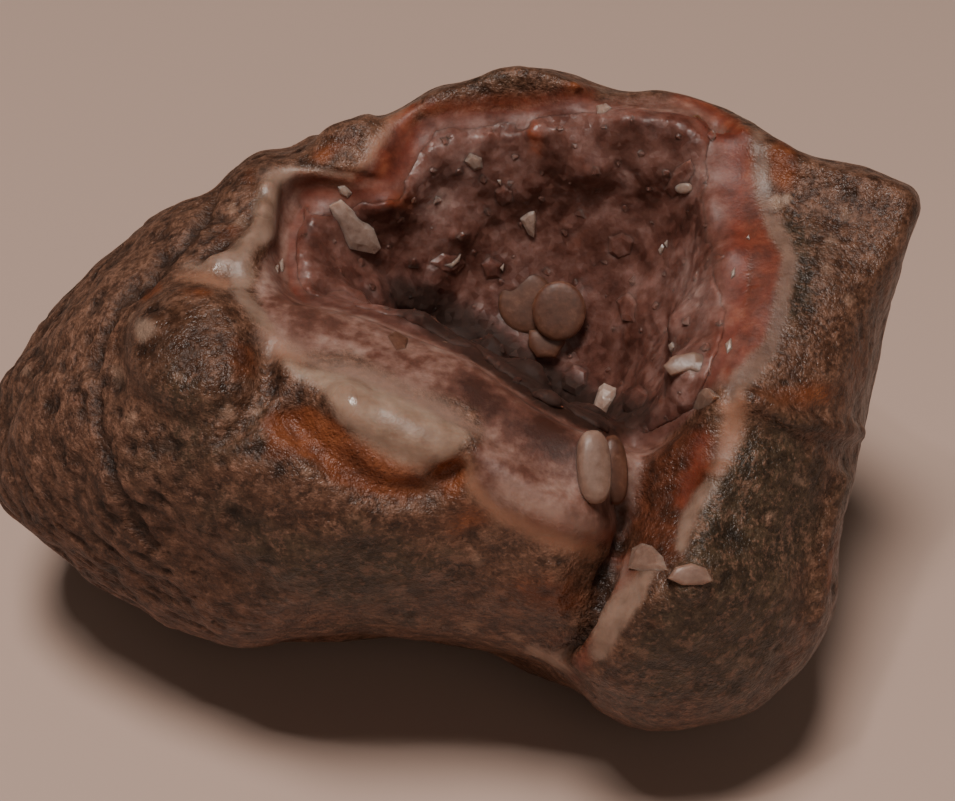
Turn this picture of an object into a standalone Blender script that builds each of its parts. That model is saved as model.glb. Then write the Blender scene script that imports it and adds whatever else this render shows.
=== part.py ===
"""An agate nodule, broken open on its upper face, with a hollow that is lined with quartz crystals.

Metres, +Z up. The nodule rests on its small flat spot at z = 0, and the origin lies under its middle.
The shape is drawn on the open face, which leans back: across runs to the right, up runs up the face,
and out runs towards someone who looks at it square on. Those three are in millimetres.
"""

import math
import random

import bmesh
import bpy
import numpy as np
from mathutils import Matrix, Vector, noise
from mathutils.bvhtree import BVHTree

MM = 0.001

# How the open face stands, and where its middle is above the resting spot
FACE_ELEVATION = math.radians(40.0)
FACE_CENTRE = np.array([1.6, -1.9, 21.5])
EYE_DISTANCE = 150.0

# The nodule's thickness on either side of its widest section, and how full its sections are
FRONT_DEPTH = 16.5
BACK_DEPTH = 22.0
FULLNESS = 2.35
LEFT_END_LEANS_BACK = 0.11

# The broken top: how far out it is at the face's middle, and how fast it falls away upwards
BREAK_OUT = 15.0
BREAK_FALL = 0.72
BREAK_EDGE = 2.0

# Powers that say how near the outline the broken top and the relief reach
BREAK_REACH = 24.0
RELIEF_REACH = 4.0

# The nodule's outline on the open face, anticlockwise from the right-hand corner
OUTLINE = [
    (29.4, 12.6), (28.6, 14.0), (26.0, 14.9), (22.6, 15.7), (19.6, 16.9), (17.2, 18.4),
    (15.5, 19.8), (12.6, 20.3), (8.6, 20.2), (6.8, 21.0), (3.0, 21.8), (0.2, 21.0),
    (-3.0, 20.1), (-4.4, 19.1), (-8.7, 17.7), (-11.5, 16.2), (-13.6, 16.0), (-15.6, 14.8),
    (-16.9, 13.6), (-19.6, 12.6), (-23.9, 9.2), (-28.0, 5.1), (-28.9, 3.3), (-30.7, 1.2),
    (-31.3, -3.0), (-30.6, -7.0), (-27.4, -9.6), (-22.6, -12.9), (-17.6, -15.5), (-14.0, -16.1),
    (-10.4, -15.4), (-4.4, -15.5), (2.6, -16.4), (6.2, -18.0), (8.8, -20.5), (12.4, -21.6),
    (17.8, -20.6), (21.5, -17.4), (23.4, -14.2), (23.8, -9.8), (24.8, -5.3), (25.9, 0.6),
    (27.1, 6.6), (28.9, 11.0),
]

# Lumps and dips of the outer skin: across, up, half length, half width, turn in degrees, height
RELIEF = [
    (-12.0, -4.0, 13.0, 8.0, -32.0, 2.6),    # the front lobe
    (-3.6, -1.4, 8.0, 2.6, -32.0, 1.6),      # the pale ridge along the lip
    (5.0, -6.6, 4.5, 2.2, -35.0, 1.0),       # the ridge's lower end
    (-1.0, -4.6, 1.7, 1.3, 0.0, -1.0),       # the notch between the two ridges
    (-18.6, 3.6, 4.6, 4.2, 0.0, 2.2),        # the dome at the left
    (-24.4, -1.0, 13.0, 1.4, 78.0, -1.6),    # the furrow between the lobe and the left end
    (15.0, -13.5, 6.5, 6.0, 0.0, 3.2),       # the lower right lobe
    (20.5, -0.8, 6.0, 1.1, -14.0, 0.9),      # the ledge across the right side
    (1.0, 20.0, 5.0, 2.2, 5.0, 1.6),         # the hump on the top edge
    (-8.5, 16.4, 3.5, 1.3, 25.0, 1.0),       # the small hump at the upper left
    (12.4, -6.2, 5.5, 2.8, 62.0, -3.6),      # the smooth valley below the hollow
    (8.5, -4.4, 2.4, 1.2, 78.0, 1.0),        # the rounded crystals at the lip's end
]

# The furrow where the two lobes meet, below the hollow: across, up
FURROW = [(10.6, -3.6), (10.0, -7.4), (9.6, -10.0), (8.4, -12.2), (6.6, -14.6), (3.4, -16.8)]
FURROW_DEPTH = 3.8
FURROW_HALF_WIDTH = 1.4

# The swelling under the nodule that brings its resting spot below its middle: across, up, radius, depth
KEEL = (0.0, -8.5, 10.0, 2.6)

# The outline's small bumps end this far behind the widest section
BUMPS_REACH_BACK = 5.0

# The weathered skin is rougher at the left end than elsewhere
LUMP_SIZE = 4.5
LUMP_HEIGHT = 0.45
PIT_SIZE = 2.6
PIT_DEPTH = 0.8
ROUGH_END = -19.0

# The edge of the hollow, anticlockwise from its top right: across, up
RIM = [
    (17.6, 17.8), (15.4, 20.2), (12.2, 21.0), (9.2, 20.6), (6.0, 19.7), (2.0, 19.2), (-2.2, 19.0),
    (-4.3, 17.8), (-5.4, 14.9), (-8.4, 14.3), (-11.8, 14.9), (-13.0, 12.6), (-13.3, 9.2), (-12.3, 6.6),
    (-9.8, 6.1), (-6.6, 5.3), (-3.3, 3.9), (-0.2, 2.7), (2.4, 0.8), (5.4, -1.3), (8.3, -2.3),
    (9.8, -3.2), (11.4, -3.6), (13.4, -2.8), (15.2, -0.8), (16.6, 1.8), (18.0, 5.4), (18.3, 9.2),
    (18.0, 12.6), (17.9, 15.8),
]
RIM_SET_BACK = 0.6

# The floor of the hollow is a long oval that lies partly under the near lip
FLOOR_CENTRE = np.array([2.4, 1.5])
FLOOR_TURN = math.radians(-34.0)
FLOOR_HALF_LENGTH = 7.8
FLOOR_HALF_WIDTH = 3.2
FLOOR_OUT = -6.5
FLOOR_RISE = 0.03
FLOOR_DISH = 0.9

# The crust of quartz on the wall of the hollow: its gap to the stone, and how far in it starts and ends
CRUST_GAP = 0.4
CRUST_BACK = 0.55
CRUST_FRONT = 1.3
CRUST_EDGE_SHARE = 0.25
CRUST_REACH = 0.985
CRUST_BELOW_NEAR_LIP = 0.14
ROOM_HEIGHT = 8.0
BACK_STEPS = 4
FRONT_STEPS = 6

# A ring of the wall moves towards its middle by no more than this share of the way
MOST_INWARD = 0.5

# Small points cover the crust, as shares of a face's shortest edge, and larger crystals stand among them
POINT_JITTER = 0.1
POINT_HEIGHT = (0.3, 0.6)
CRYSTAL_SPACING = 4.4
CRYSTAL_RADIUS = (1.3, 2.0)
CRYSTAL_HEIGHT = (1.0, 2.2)
CRYSTAL_TAPER = 0.92
CRYSTAL_POINT = 0.95
CRYSTAL_ROOT = 0.4
CRYSTAL_LEAN = 0.35

# Crystals near the rim are smaller, down to this share of their size
RIM_CRYSTAL_SHARE = 0.4
RIM_CRYSTAL_REACH = 4.0

# The large rounded crystals on the far wall: across, up, how far they stand out, radius, half thickness
ROSETTES = [
    (4.9, 5.8, 1.5, 2.6, 0.9),
    (3.1, 6.9, 0.9, 2.4, 0.9),
]

CUTTER_REACH = 1.015
CUTTER_WALL_STEPS = 8
RIM_STEPS = 48
BODY_SHARE_KEPT = 0.04


def closed_curve(points, samples):
    """A smooth closed curve through the points, as an array with the given number of samples."""
    points = np.array(points, float)
    count = len(points)
    at = np.linspace(0.0, count, samples, endpoint=False)
    first = at.astype(int)
    t = (at - first)[:, None]
    before, here, after, beyond = (points[(first + step) % count] for step in (-1, 0, 1, 2))
    return 0.5 * (
        2 * here
        + (after - before) * t
        + (2 * before - 5 * here + 4 * after - beyond) * t**2
        + (3 * here - before - 3 * after + beyond) * t**3
    )


def on_face(across, up, out):
    """The world position, in metres, of a point that is given on the open face, in millimetres."""
    across, up, out = (np.asarray(value, float) for value in (across, up, out))
    nearer = 1.0 - out / EYE_DISTANCE
    side, rise = across * nearer, up * nearer
    sin, cos = math.sin(FACE_ELEVATION), math.cos(FACE_ELEVATION)
    world = np.stack([side, rise * sin - out * cos, rise * cos + out * sin], axis=-1)
    return (world + FACE_CENTRE) * MM


# The direction from the open face's middle to the eye
EYE_WAY = Vector(on_face(0.0, 0.0, 1.0) - on_face(0.0, 0.0, 0.0)).normalized()


def outline_radius(angle):
    """How far the outline is from the face's middle in each direction."""
    curve = closed_curve(OUTLINE, 720)
    angles = np.arctan2(curve[:, 1], curve[:, 0])
    return np.interp(angle, angles, np.hypot(curve[:, 0], curve[:, 1]), period=2 * math.pi)


def plain_radius(angle):
    """The outline's radius without its small bumps, averaged over a wide angle."""
    spread = np.radians(np.linspace(-18.0, 18.0, 13))
    return np.mean([outline_radius(angle + turn) for turn in spread], axis=0)


def distance_to_line(across, up, line):
    """The distance of each point from a line of straight runs."""
    nearest = np.full(np.shape(across), np.inf)
    for (x0, y0), (x1, y1) in zip(line, line[1:]):
        length_squared = (x1 - x0) ** 2 + (y1 - y0) ** 2
        t = np.clip(((across - x0) * (x1 - x0) + (up - y0) * (y1 - y0)) / length_squared, 0, 1)
        nearest = np.minimum(nearest, np.hypot(across - x0 - t * (x1 - x0), up - y0 - t * (y1 - y0)))
    return nearest


def relief(across, up):
    """The height of the lumps, dips and the furrow at each point of the front skin."""
    height = -FURROW_DEPTH * np.exp(-((distance_to_line(across, up, FURROW) / FURROW_HALF_WIDTH) ** 2))
    for x, y, half_length, half_width, turn, lift in RELIEF:
        sin, cos = math.sin(math.radians(turn)), math.cos(math.radians(turn))
        along = ((across - x) * cos + (up - y) * sin) / half_length
        beside = ((up - y) * cos - (across - x) * sin) / half_width
        height = height + lift * np.exp(-(along**2 + beside**2))
    return height


def skin_out(across, up):
    """How far out the front skin is at each point of the face, before the hollow is cut."""
    share = np.hypot(across, up) / outline_radius(np.arctan2(up, across))
    bulge = FRONT_DEPTH * np.clip(1.0 - share**FULLNESS, 0.0, 1.0) ** (1.0 / FULLNESS)
    bulge = bulge + LEFT_END_LEANS_BACK * across * share**2
    broken = BREAK_OUT - BREAK_FALL * up
    lower = -BREAK_EDGE * np.logaddexp(-bulge / BREAK_EDGE, -broken / BREAK_EDGE)
    flatten = (lower - bulge) * np.clip(1.0 - share**BREAK_REACH, 0.0, 1.0)
    return bulge + flatten + relief(across, up) * np.clip(1.0 - share**RELIEF_REACH, 0.0, 1.0)


def new_object(name, bm, collection):
    mesh = bpy.data.meshes.new(name)
    bm.to_mesh(mesh)
    bm.free()
    obj = bpy.data.objects.new(name, mesh)
    collection.objects.link(obj)
    return obj


def weathering(place):
    """How far the skin stands out or is eaten away at a place given in metres."""
    at = place / MM
    lumps = LUMP_HEIGHT * noise.noise(at / LUMP_SIZE)
    roughness = 1.0 / (1.0 + math.exp((at.x - ROUGH_END) / 2.0))
    stretched = Vector((at.x * 0.6 + at.z * 0.5, at.y, at.z * 0.6 - at.x * 0.5))
    pits = -PIT_DEPTH * max(0.0, noise.noise(stretched / PIT_SIZE)) * (0.25 + 0.75 * roughness)
    return (lumps + pits) * MM


def whole_nodule(collection):
    """The nodule before it broke open: a ball whose widest section is the outline."""
    bm = bmesh.new()
    bmesh.ops.create_icosphere(bm, subdivisions=7, radius=1.0)
    unit = np.array([vertex.co for vertex in bm.verts])
    angle = np.arctan2(unit[:, 1], unit[:, 0])
    share = np.clip(np.hypot(unit[:, 0], unit[:, 1]), 0.0, 1.0) ** (2.0 / FULLNESS)
    depth = BACK_DEPTH * np.clip(-unit[:, 2], 0.0, 1.0) ** (2.0 / FULLNESS)
    bumps = np.exp(-((depth / BUMPS_REACH_BACK) ** 2))
    radius = plain_radius(angle) * (1.0 - bumps) + outline_radius(angle) * bumps
    across, up = share * radius * np.cos(angle), share * radius * np.sin(angle)
    keel_across, keel_up, keel_radius, keel_depth = KEEL
    keel = keel_depth * np.exp(-((across - keel_across) ** 2 + (up - keel_up) ** 2) / keel_radius**2)
    back = LEFT_END_LEANS_BACK * across * share**2 - depth - keel * depth / BACK_DEPTH
    out = np.where(unit[:, 2] > 0, skin_out(across, up), back)
    for vertex, place in zip(bm.verts, on_face(across, up, out)):
        vertex.co = place
    bm.normal_update()
    moves = [vertex.normal * weathering(vertex.co) for vertex in bm.verts]
    for vertex, move in zip(bm.verts, moves):
        vertex.co += move
    for face in bm.faces:
        face.smooth = True
    return new_object("agate_nodule", bm, collection)


def hollow_rings(wall_steps, reach, below_near_lip=0.0):
    """Rings of places down the wall of the hollow, from its rim to the edge of its floor.

    The rim is held inside the given share of the nodule's outline, and the first ring can start below
    the near lip, by a share of the wall.
    """
    rim = closed_curve(RIM, RIM_STEPS)
    centre = np.array(RIM).mean(axis=0)
    limit = reach * outline_radius(np.arctan2(rim[:, 1], rim[:, 0]))
    rim = rim * np.minimum(1.0, limit / np.hypot(rim[:, 0], rim[:, 1]))[:, None]
    length_way = np.array([math.cos(FLOOR_TURN), math.sin(FLOOR_TURN)])
    width_way = np.array([-math.sin(FLOOR_TURN), math.cos(FLOOR_TURN)])
    turn = np.arctan2((rim - centre) @ width_way, (rim - centre) @ length_way)
    along, beside = FLOOR_HALF_LENGTH * np.cos(turn), FLOOR_HALF_WIDTH * np.sin(turn)
    floor = FLOOR_CENTRE + np.outer(along, length_way) + np.outer(beside, width_way)
    floor_out = FLOOR_OUT + FLOOR_RISE * along**2
    rim_out = skin_out(rim[:, 0], rim[:, 1]) - RIM_SET_BACK
    start = below_near_lip * np.clip(-beside, 0.0, 1.0)
    rings = []
    for step in range(wall_steps + 1):
        t = np.clip(start + (1.0 - start) * step / wall_steps, 0.0, 1.0)
        inward, down = t**1.25, 1.0 - (1.0 - t) ** 1.45
        place = rim + (floor - rim) * inward[:, None]
        rings.append(np.column_stack([place, rim_out + (floor_out - rim_out) * down]))
    inner = FLOOR_CENTRE + (floor - FLOOR_CENTRE) * 0.5
    rings.append(np.column_stack([inner, floor_out - FLOOR_DISH]))
    return rings


def loft(rings, closed):
    """A skin over the rings, which ends in a point at the last one, and at the first too if closed."""
    bm = bmesh.new()
    loops = [[bm.verts.new(place) for place in on_face(ring[:, 0], ring[:, 1], ring[:, 2])] for ring in rings]
    count = len(loops[0])
    for upper, lower in zip(loops, loops[1:]):
        for i in range(count):
            bm.faces.new((upper[i], upper[(i + 1) % count], lower[(i + 1) % count], lower[i]))
    for loop in loops[-1:] + (loops[:1] if closed else []):
        tip = bm.verts.new(sum((vertex.co for vertex in loop), Vector()) / count)
        for i in range(count):
            bm.faces.new((loop[i], loop[(i + 1) % count], tip))
    bmesh.ops.recalc_face_normals(bm, faces=bm.faces)
    return bm


def hollow_cutter(collection):
    rings = hollow_rings(CUTTER_WALL_STEPS, CUTTER_REACH)
    above = rings[0] + np.array([0.0, 0.0, 30.0])
    return new_object("hollow", loft([above] + rings, closed=True), collection)


def ground_cutter(collection):
    bm = bmesh.new()
    bmesh.ops.create_cube(bm, size=0.2, matrix=Matrix.Translation((0.0, 0.0, -0.1)))
    return new_object("ground", bm, collection)


def hide_cutters(collection):
    for cutter in collection.objects:
        cutter.hide_render = True
        cutter.hide_set(True)
        cutter.display_type = "WIRE"


def cut(obj, cutter, operation="DIFFERENCE"):
    modifier = obj.modifiers.new(operation.title() + " " + cutter.name, "BOOLEAN")
    modifier.object = cutter
    modifier.operation = operation
    modifier.solver = "EXACT"
    return modifier


def shape_body(body, hollow, ground):
    decimate = body.modifiers.new("Fewer faces", "DECIMATE")
    decimate.ratio = BODY_SHARE_KEPT
    cut(body, hollow)
    cut(body, ground)


def wall_surface(wall_steps, distance, below_near_lip=CRUST_BELOW_NEAR_LIP):
    """The wall of the hollow as an open surface, moved inwards and outwards by this many millimetres."""
    rings = hollow_rings(wall_steps, CRUST_REACH, below_near_lip)
    for ring in rings:
        inward = ring[:, :2].mean(axis=0) - ring[:, :2]
        length = np.linalg.norm(inward, axis=1)
        ring[:, :2] += inward * np.minimum(distance / length, MOST_INWARD)[:, None]
        ring[:, 2] += distance
    bm = loft(rings, closed=False)
    bm.faces.ensure_lookup_table()
    if bm.faces[-1].normal.dot(EYE_WAY) < 0.0:
        bmesh.ops.reverse_faces(bm, faces=bm.faces)
    bm.normal_update()
    bm.verts.ensure_lookup_table()
    return bm


def room_for_crust(collection):
    """The space of the hollow with the crust's gap left free all round, open towards the eye."""
    bm = wall_surface(CUTTER_WALL_STEPS, CRUST_GAP, below_near_lip=0.0)
    rim = [edge for edge in bm.edges if edge.is_boundary]
    top = bmesh.ops.extrude_edge_only(bm, edges=rim)["geom"]
    raised = [item for item in top if isinstance(item, bmesh.types.BMVert)]
    bmesh.ops.translate(bm, verts=raised, vec=EYE_WAY * ROOM_HEIGHT * MM)
    bmesh.ops.contextual_create(bm, geom=[edge for edge in bm.edges if edge.is_boundary])
    bmesh.ops.recalc_face_normals(bm, faces=bm.faces)
    return new_object("room", bm, collection)


def near_rim_share(place, rim):
    """The size of a crystal at this place, as a share: crystals are smaller near the rim."""
    from_rim = min((place - corner).length for corner in rim) / (RIM_CRYSTAL_REACH * MM)
    return RIM_CRYSTAL_SHARE + (1.0 - RIM_CRYSTAL_SHARE) * min(1.0, from_rim)


def raise_points(front, rim, chooser):
    """Every face of the crust's front rises to a point, so that small crystals cover all of it."""
    for vertex in front.verts[RIM_STEPS:-1]:
        room = min(edge.calc_length() for edge in vertex.link_edges) * POINT_JITTER
        vertex.co += Vector([chooser.uniform(-1.0, 1.0) for _ in range(3)]) * room
    front.normal_update()
    for face in list(front.faces):
        normal, middle = face.normal.copy(), face.calc_center_median()
        width = min(edge.calc_length() for edge in face.edges)
        height = chooser.uniform(*POINT_HEIGHT) * near_rim_share(middle, rim) * width
        tip = bmesh.ops.poke(front, faces=[face])["verts"][0]
        tip.co = middle + normal * height


def crust_skin(front, back, collection):
    """The crust without its large crystals: smooth on the stone's side, and all small points in front."""
    rim = [vertex.co.copy() for vertex in back.verts[:RIM_STEPS]]
    for high, low in zip(front.verts[:RIM_STEPS], rim):
        high.co = low.lerp(high.co, CRUST_EDGE_SHARE)
    raise_points(front, rim, random.Random(7))
    bmesh.ops.reverse_faces(back, faces=back.faces)
    back_mesh = bpy.data.meshes.new("back")
    back.to_mesh(back_mesh)
    front.from_mesh(back_mesh)
    bpy.data.meshes.remove(back_mesh)
    bmesh.ops.bridge_loops(front, edges=[edge for edge in front.edges if edge.is_boundary])
    bmesh.ops.recalc_face_normals(front, faces=front.faces)
    return new_object("quartz_crust", front, collection)


def scattered_spots(surface, spacing, seed):
    """Places on the surface and the directions they face, no two closer than the spacing in millimetres."""
    chooser = random.Random(seed)
    faces = [face for face in surface.faces]
    spots = []
    for face in chooser.choices(faces, weights=[face.calc_area() for face in faces], k=2500):
        corners = [vertex.co for vertex in face.verts]
        across, along = chooser.random(), chooser.random()
        place = corners[0].lerp(corners[1], across).lerp(corners[-1].lerp(corners[2], across), along)
        if all((place - other).length > spacing * MM for other, _ in spots):
            spots.append((place, face.normal.copy()))
    return spots


def add_crystal(bm, root, direction, radius, height):
    """A six-sided crystal with a pointed end, which grows from its root in a direction."""
    stem = bmesh.ops.create_cone(
        bm, cap_ends=True, segments=6, radius1=radius, radius2=radius * CRYSTAL_TAPER, depth=height
    )["verts"]
    top = [vertex for vertex in stem if vertex.co.z > 0.0]
    lid = next(face for face in top[0].link_faces if all(vertex in top for vertex in face.verts))
    tip = bmesh.ops.poke(bm, faces=[lid])["verts"]
    bmesh.ops.translate(bm, verts=tip, vec=(0.0, 0.0, radius * CRYSTAL_POINT))
    turn = direction.to_track_quat("Z", "Y").to_matrix().to_4x4()
    lift = Matrix.Translation((0.0, 0.0, height / 2))
    bmesh.ops.transform(bm, matrix=Matrix.Translation(root) @ turn @ lift, verts=stem + tip)


def add_rosette(bm, wall, across, up, stand, radius, half_thickness):
    """A flat rounded crystal that faces someone who looks at the open face."""
    place = wall.ray_cast(Vector(on_face(across, up, 60.0)), -EYE_WAY)[0] + EYE_WAY * stand * MM
    ball = bmesh.ops.create_uvsphere(bm, u_segments=9, v_segments=6, radius=radius * MM)["verts"]
    bmesh.ops.scale(bm, verts=ball, vec=(1.0, 1.0, half_thickness / radius))
    turn = EYE_WAY.to_track_quat("Z", "Y").to_matrix().to_4x4()
    bmesh.ops.transform(bm, matrix=Matrix.Translation(place) @ turn, verts=ball)


def large_crystals(front, collection):
    """The crust's larger crystals in one mesh: pointed ones all over, and a few rounded ones."""
    chooser = random.Random(11)
    rim = [vertex.co for vertex in front.verts[:RIM_STEPS]]
    wall = BVHTree.FromBMesh(front)
    bm = bmesh.new()
    for place, normal in scattered_spots(front, CRYSTAL_SPACING, seed=4):
        size = near_rim_share(place, rim) * MM
        lean = Vector([chooser.uniform(-1.0, 1.0) for _ in range(3)]) * CRYSTAL_LEAN
        radius = chooser.uniform(*CRYSTAL_RADIUS) * size
        height = chooser.uniform(*CRYSTAL_HEIGHT) * size
        add_crystal(bm, place - normal * CRYSTAL_ROOT * MM, (normal + lean).normalized(), radius, height)
    for rosette in ROSETTES:
        add_rosette(bm, wall, *rosette)
    return new_object("crystals", bm, collection)


def separate_skins(bm):
    """The mesh's closed skins, as lists of the faces that hang together edge to edge."""
    left = set(bm.faces)
    skins = []
    while left:
        search = [left.pop()]
        skin = list(search)
        while search:
            face = search.pop()
            reached = {other for edge in face.edges for other in edge.link_faces} & left
            left -= reached
            search.extend(reached)
            skin.extend(reached)
        skins.append(skin)
    return skins


def apply_without_pockets(obj):
    """Applies the object's modifiers, and fills the sealed pockets between crystals that meet."""
    mesh = bpy.data.meshes.new_from_object(obj.evaluated_get(bpy.context.evaluated_depsgraph_get()))
    obj.modifiers.clear()
    bm = bmesh.new()
    bm.from_mesh(mesh)
    pockets = sorted(separate_skins(bm), key=len)[:-1]
    bmesh.ops.delete(bm, geom=[face for pocket in pockets for face in pocket], context="FACES")
    bm.to_mesh(mesh)
    bm.free()
    obj.data = mesh


def stone_material(name, colour, roughness):
    material = bpy.data.materials.new(name)
    material.use_nodes = True
    shader = material.node_tree.nodes["Principled BSDF"]
    shader.inputs["Base Color"].default_value = (*colour, 1.0)
    shader.inputs["Roughness"].default_value = roughness
    shader.inputs["Metallic"].default_value = 0.0
    return material


def main():
    for obj in list(bpy.data.objects):
        bpy.data.objects.remove(obj)
    parts = bpy.data.collections.new("agate_nodule")
    cutters = bpy.data.collections.new("cutters")
    bpy.context.scene.collection.children.link(parts)
    bpy.context.scene.collection.children.link(cutters)

    body = whole_nodule(parts)
    shape_body(body, hollow_cutter(cutters), ground_cutter(cutters))
    body.data.materials.append(stone_material("agate", (0.16, 0.09, 0.06), 0.3))

    front = wall_surface(FRONT_STEPS, CRUST_FRONT)
    crystals = large_crystals(front, cutters)
    crust = crust_skin(front, wall_surface(BACK_STEPS, CRUST_BACK), parts)
    cut(crystals, room_for_crust(cutters), "INTERSECT").use_self = True
    cut(crust, crystals, "UNION").use_self = True
    apply_without_pockets(crust)
    crust.data.materials.append(stone_material("quartz", (0.42, 0.25, 0.22), 0.2))
    hide_cutters(cutters)


main()
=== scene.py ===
"""The look of the agate nodule: its worn skin, its bands, and the quartz that lines its hollow."""

import math
from itertools import product

import bmesh
import bpy
import numpy as np
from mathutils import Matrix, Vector, noise
from mathutils.bvhtree import BVHTree


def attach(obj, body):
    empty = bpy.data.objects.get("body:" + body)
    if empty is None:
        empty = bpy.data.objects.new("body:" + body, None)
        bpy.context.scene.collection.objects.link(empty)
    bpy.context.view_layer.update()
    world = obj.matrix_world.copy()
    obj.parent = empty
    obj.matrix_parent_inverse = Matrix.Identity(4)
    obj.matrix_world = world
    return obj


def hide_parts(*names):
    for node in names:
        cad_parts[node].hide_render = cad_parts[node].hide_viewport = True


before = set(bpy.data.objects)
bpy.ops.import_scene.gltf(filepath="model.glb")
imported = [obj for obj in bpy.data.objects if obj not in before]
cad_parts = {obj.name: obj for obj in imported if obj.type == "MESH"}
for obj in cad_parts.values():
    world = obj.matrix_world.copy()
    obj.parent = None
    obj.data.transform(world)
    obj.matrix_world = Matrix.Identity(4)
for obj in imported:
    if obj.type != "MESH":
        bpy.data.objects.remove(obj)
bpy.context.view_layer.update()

MM = 0.001

# The photograph's view: it looks down on the open face, whose middle it has at one pixel
FACE_ELEVATION = math.radians(40.0)
FACE_CENTRE = np.array([1.6, -1.9, 21.5])
EYE_DISTANCE = 150.0
PIXEL = 0.065
IMAGE_WIDTH, IMAGE_HEIGHT = 955, 801
CENTRE_PIXEL = (470.0, 400.0)

# The mesh spacing of the stone and of the finer crust, and how far the crust grows, in millimetres
STONE_VOXEL = 0.36
CRUST_VOXEL = 0.23
CRUST_GROWTH = 0.5
# How many rounds of smoothing wear the crust's cut faces, its broad points and the skin's dents
CUT_WEAR = 12
WALL_WEAR, WALL_SHARE = 160, 0.9
SKIN_WEAR, SKIN_SHARE = 7, 0.6
# Where the wear of the crust's wall starts and is full, and where its rim is pressed back, in pixels from
# the opening's edge
WALL_BAND = (2.0, 28.0)
PRESSED_BAND = (34.0, 10.0)

# How much of its own length round the dome the grain of the worn skin has, which draws it out
GRAIN_SQUEEZE = 0.3
# The dome at the left, which the scratches of the worn end run round, in pixels
DOME = (190.0, 350.0)

SIN, COS = math.sin(FACE_ELEVATION), math.cos(FACE_ELEVATION)
EYE_WAY = np.array([0.0, -COS, SIN])
EYE = (FACE_CENTRE + EYE_WAY * EYE_DISTANCE) * MM


# where things are

def pixels_of(places):
    """Where the photograph's camera sees each place: pixels across, pixels down."""
    local = places / MM - FACE_CENTRE
    out = local[:, 1] * -COS + local[:, 2] * SIN
    nearer = 1.0 - out / EYE_DISTANCE
    across, up = local[:, 0] / nearer, (local[:, 1] * SIN + local[:, 2] * COS) / nearer
    return np.column_stack([CENTRE_PIXEL[0] + across / PIXEL, CENTRE_PIXEL[1] - up / PIXEL])


def face_place(x, y):
    """The place on the open face that is seen at a pixel."""
    across, up = (x - CENTRE_PIXEL[0]) * PIXEL, (CENTRE_PIXEL[1] - y) * PIXEL
    return (np.array([across, up * SIN, up * COS]) + FACE_CENTRE) * MM


def strand_field(points, strand):
    """How far inside a strand each point is, in pixels. A strand is a line of (x, y, half width)."""
    best = np.full(len(points), -1e3)
    strand = [strand[0]] + list(strand) if len(strand) == 1 else strand
    for (x0, y0, w0), (x1, y1, w1) in zip(strand, strand[1:]):
        length = max((x1 - x0) ** 2 + (y1 - y0) ** 2, 1e-6)
        t = np.clip(((points[:, 0] - x0) * (x1 - x0) + (points[:, 1] - y0) * (y1 - y0)) / length, 0, 1)
        reach = np.hypot(points[:, 0] - x0 - t * (x1 - x0), points[:, 1] - y0 - t * (y1 - y0))
        best = np.maximum(best, w0 + (w1 - w0) * t - reach)
    return best


def region_field(points, corners):
    """How far inside a closed region each point is, in pixels; negative outside."""
    corners = np.array(corners, float)
    x, y = points[:, 0], points[:, 1]
    inside = np.zeros(len(points), bool)
    nearest = np.full(len(points), 1e6)
    for (x0, y0), (x1, y1) in zip(corners, np.roll(corners, -1, axis=0)):
        crosses = (y0 > y) != (y1 > y)
        inside ^= crosses & (x < (x1 - x0) * (y - y0) / (y1 - y0 + 1e-9) + x0)
        t = np.clip(((x - x0) * (x1 - x0) + (y - y0) * (y1 - y0)) / ((x1 - x0) ** 2 + (y1 - y0) ** 2), 0, 1)
        nearest = np.minimum(nearest, np.hypot(x - x0 - t * (x1 - x0), y - y0 - t * (y1 - y0)))
    return np.where(inside, nearest, -nearest)


def field(points, strands):
    """How far inside the nearest of these strands each point is, in pixels."""
    return np.max([strand_field(points, strand) for strand in strands], axis=0)


def blobs(points, spots):
    """A soft sum of round spots (x, y, half length, half width, turn, strength)."""
    total = np.zeros(len(points))
    for x, y, long, short, turn, strength in spots:
        sin, cos = math.sin(math.radians(turn)), math.cos(math.radians(turn))
        dx, dy = points[:, 0] - x, y - points[:, 1]
        along, over = (dx * cos + dy * sin) / long, (dy * cos - dx * sin) / short
        total += strength * np.exp(-(along**2 + over**2))
    return total


def smooth_step(low, high, value):
    """From 0 where the value is low to 1 where it is high, without a corner at either end."""
    t = np.clip((value - low) / (high - low), 0.0, 1.0)
    return t * t * (3.0 - 2.0 * t)


def noise_at(places, size, seed, octaves=1):
    """Smooth noise about zero at each place, with features of this size in millimetres."""
    scaled = places / MM / size + seed
    if octaves == 1:
        return np.array([noise.noise(place) for place in scaled.tolist()])
    return np.array([noise.fractal(place, 1.0, 2.0, octaves) for place in scaled.tolist()])


# meshes

def evaluated_mesh(obj):
    return bpy.data.meshes.new_from_object(obj.evaluated_get(bpy.context.evaluated_depsgraph_get()))


def new_object(name, data):
    obj = bpy.data.objects.new(name, data)
    bpy.context.scene.collection.objects.link(obj)
    return obj


def new_mesh(name, places, faces):
    mesh = bpy.data.meshes.new(name)
    mesh.from_pydata(places, [], faces)
    mesh.update()
    return mesh


def tree_of(mesh):
    """The mesh's faces as a tree, for the place nearest to another or the one that a ray meets."""
    corners = [vertex.co for vertex in mesh.vertices]
    return BVHTree.FromPolygons(corners, [face.vertices for face in mesh.polygons])


def remesh(obj, voxel):
    """Gives the object an even, dense mesh over the outside of all its closed pieces."""
    modifier = obj.modifiers.new("Even mesh", "REMESH")
    modifier.mode = "VOXEL"
    modifier.voxel_size = voxel * MM
    modifier.use_smooth_shade = True
    mesh = evaluated_mesh(obj)
    obj.modifiers.clear()
    obj.data = mesh


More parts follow.
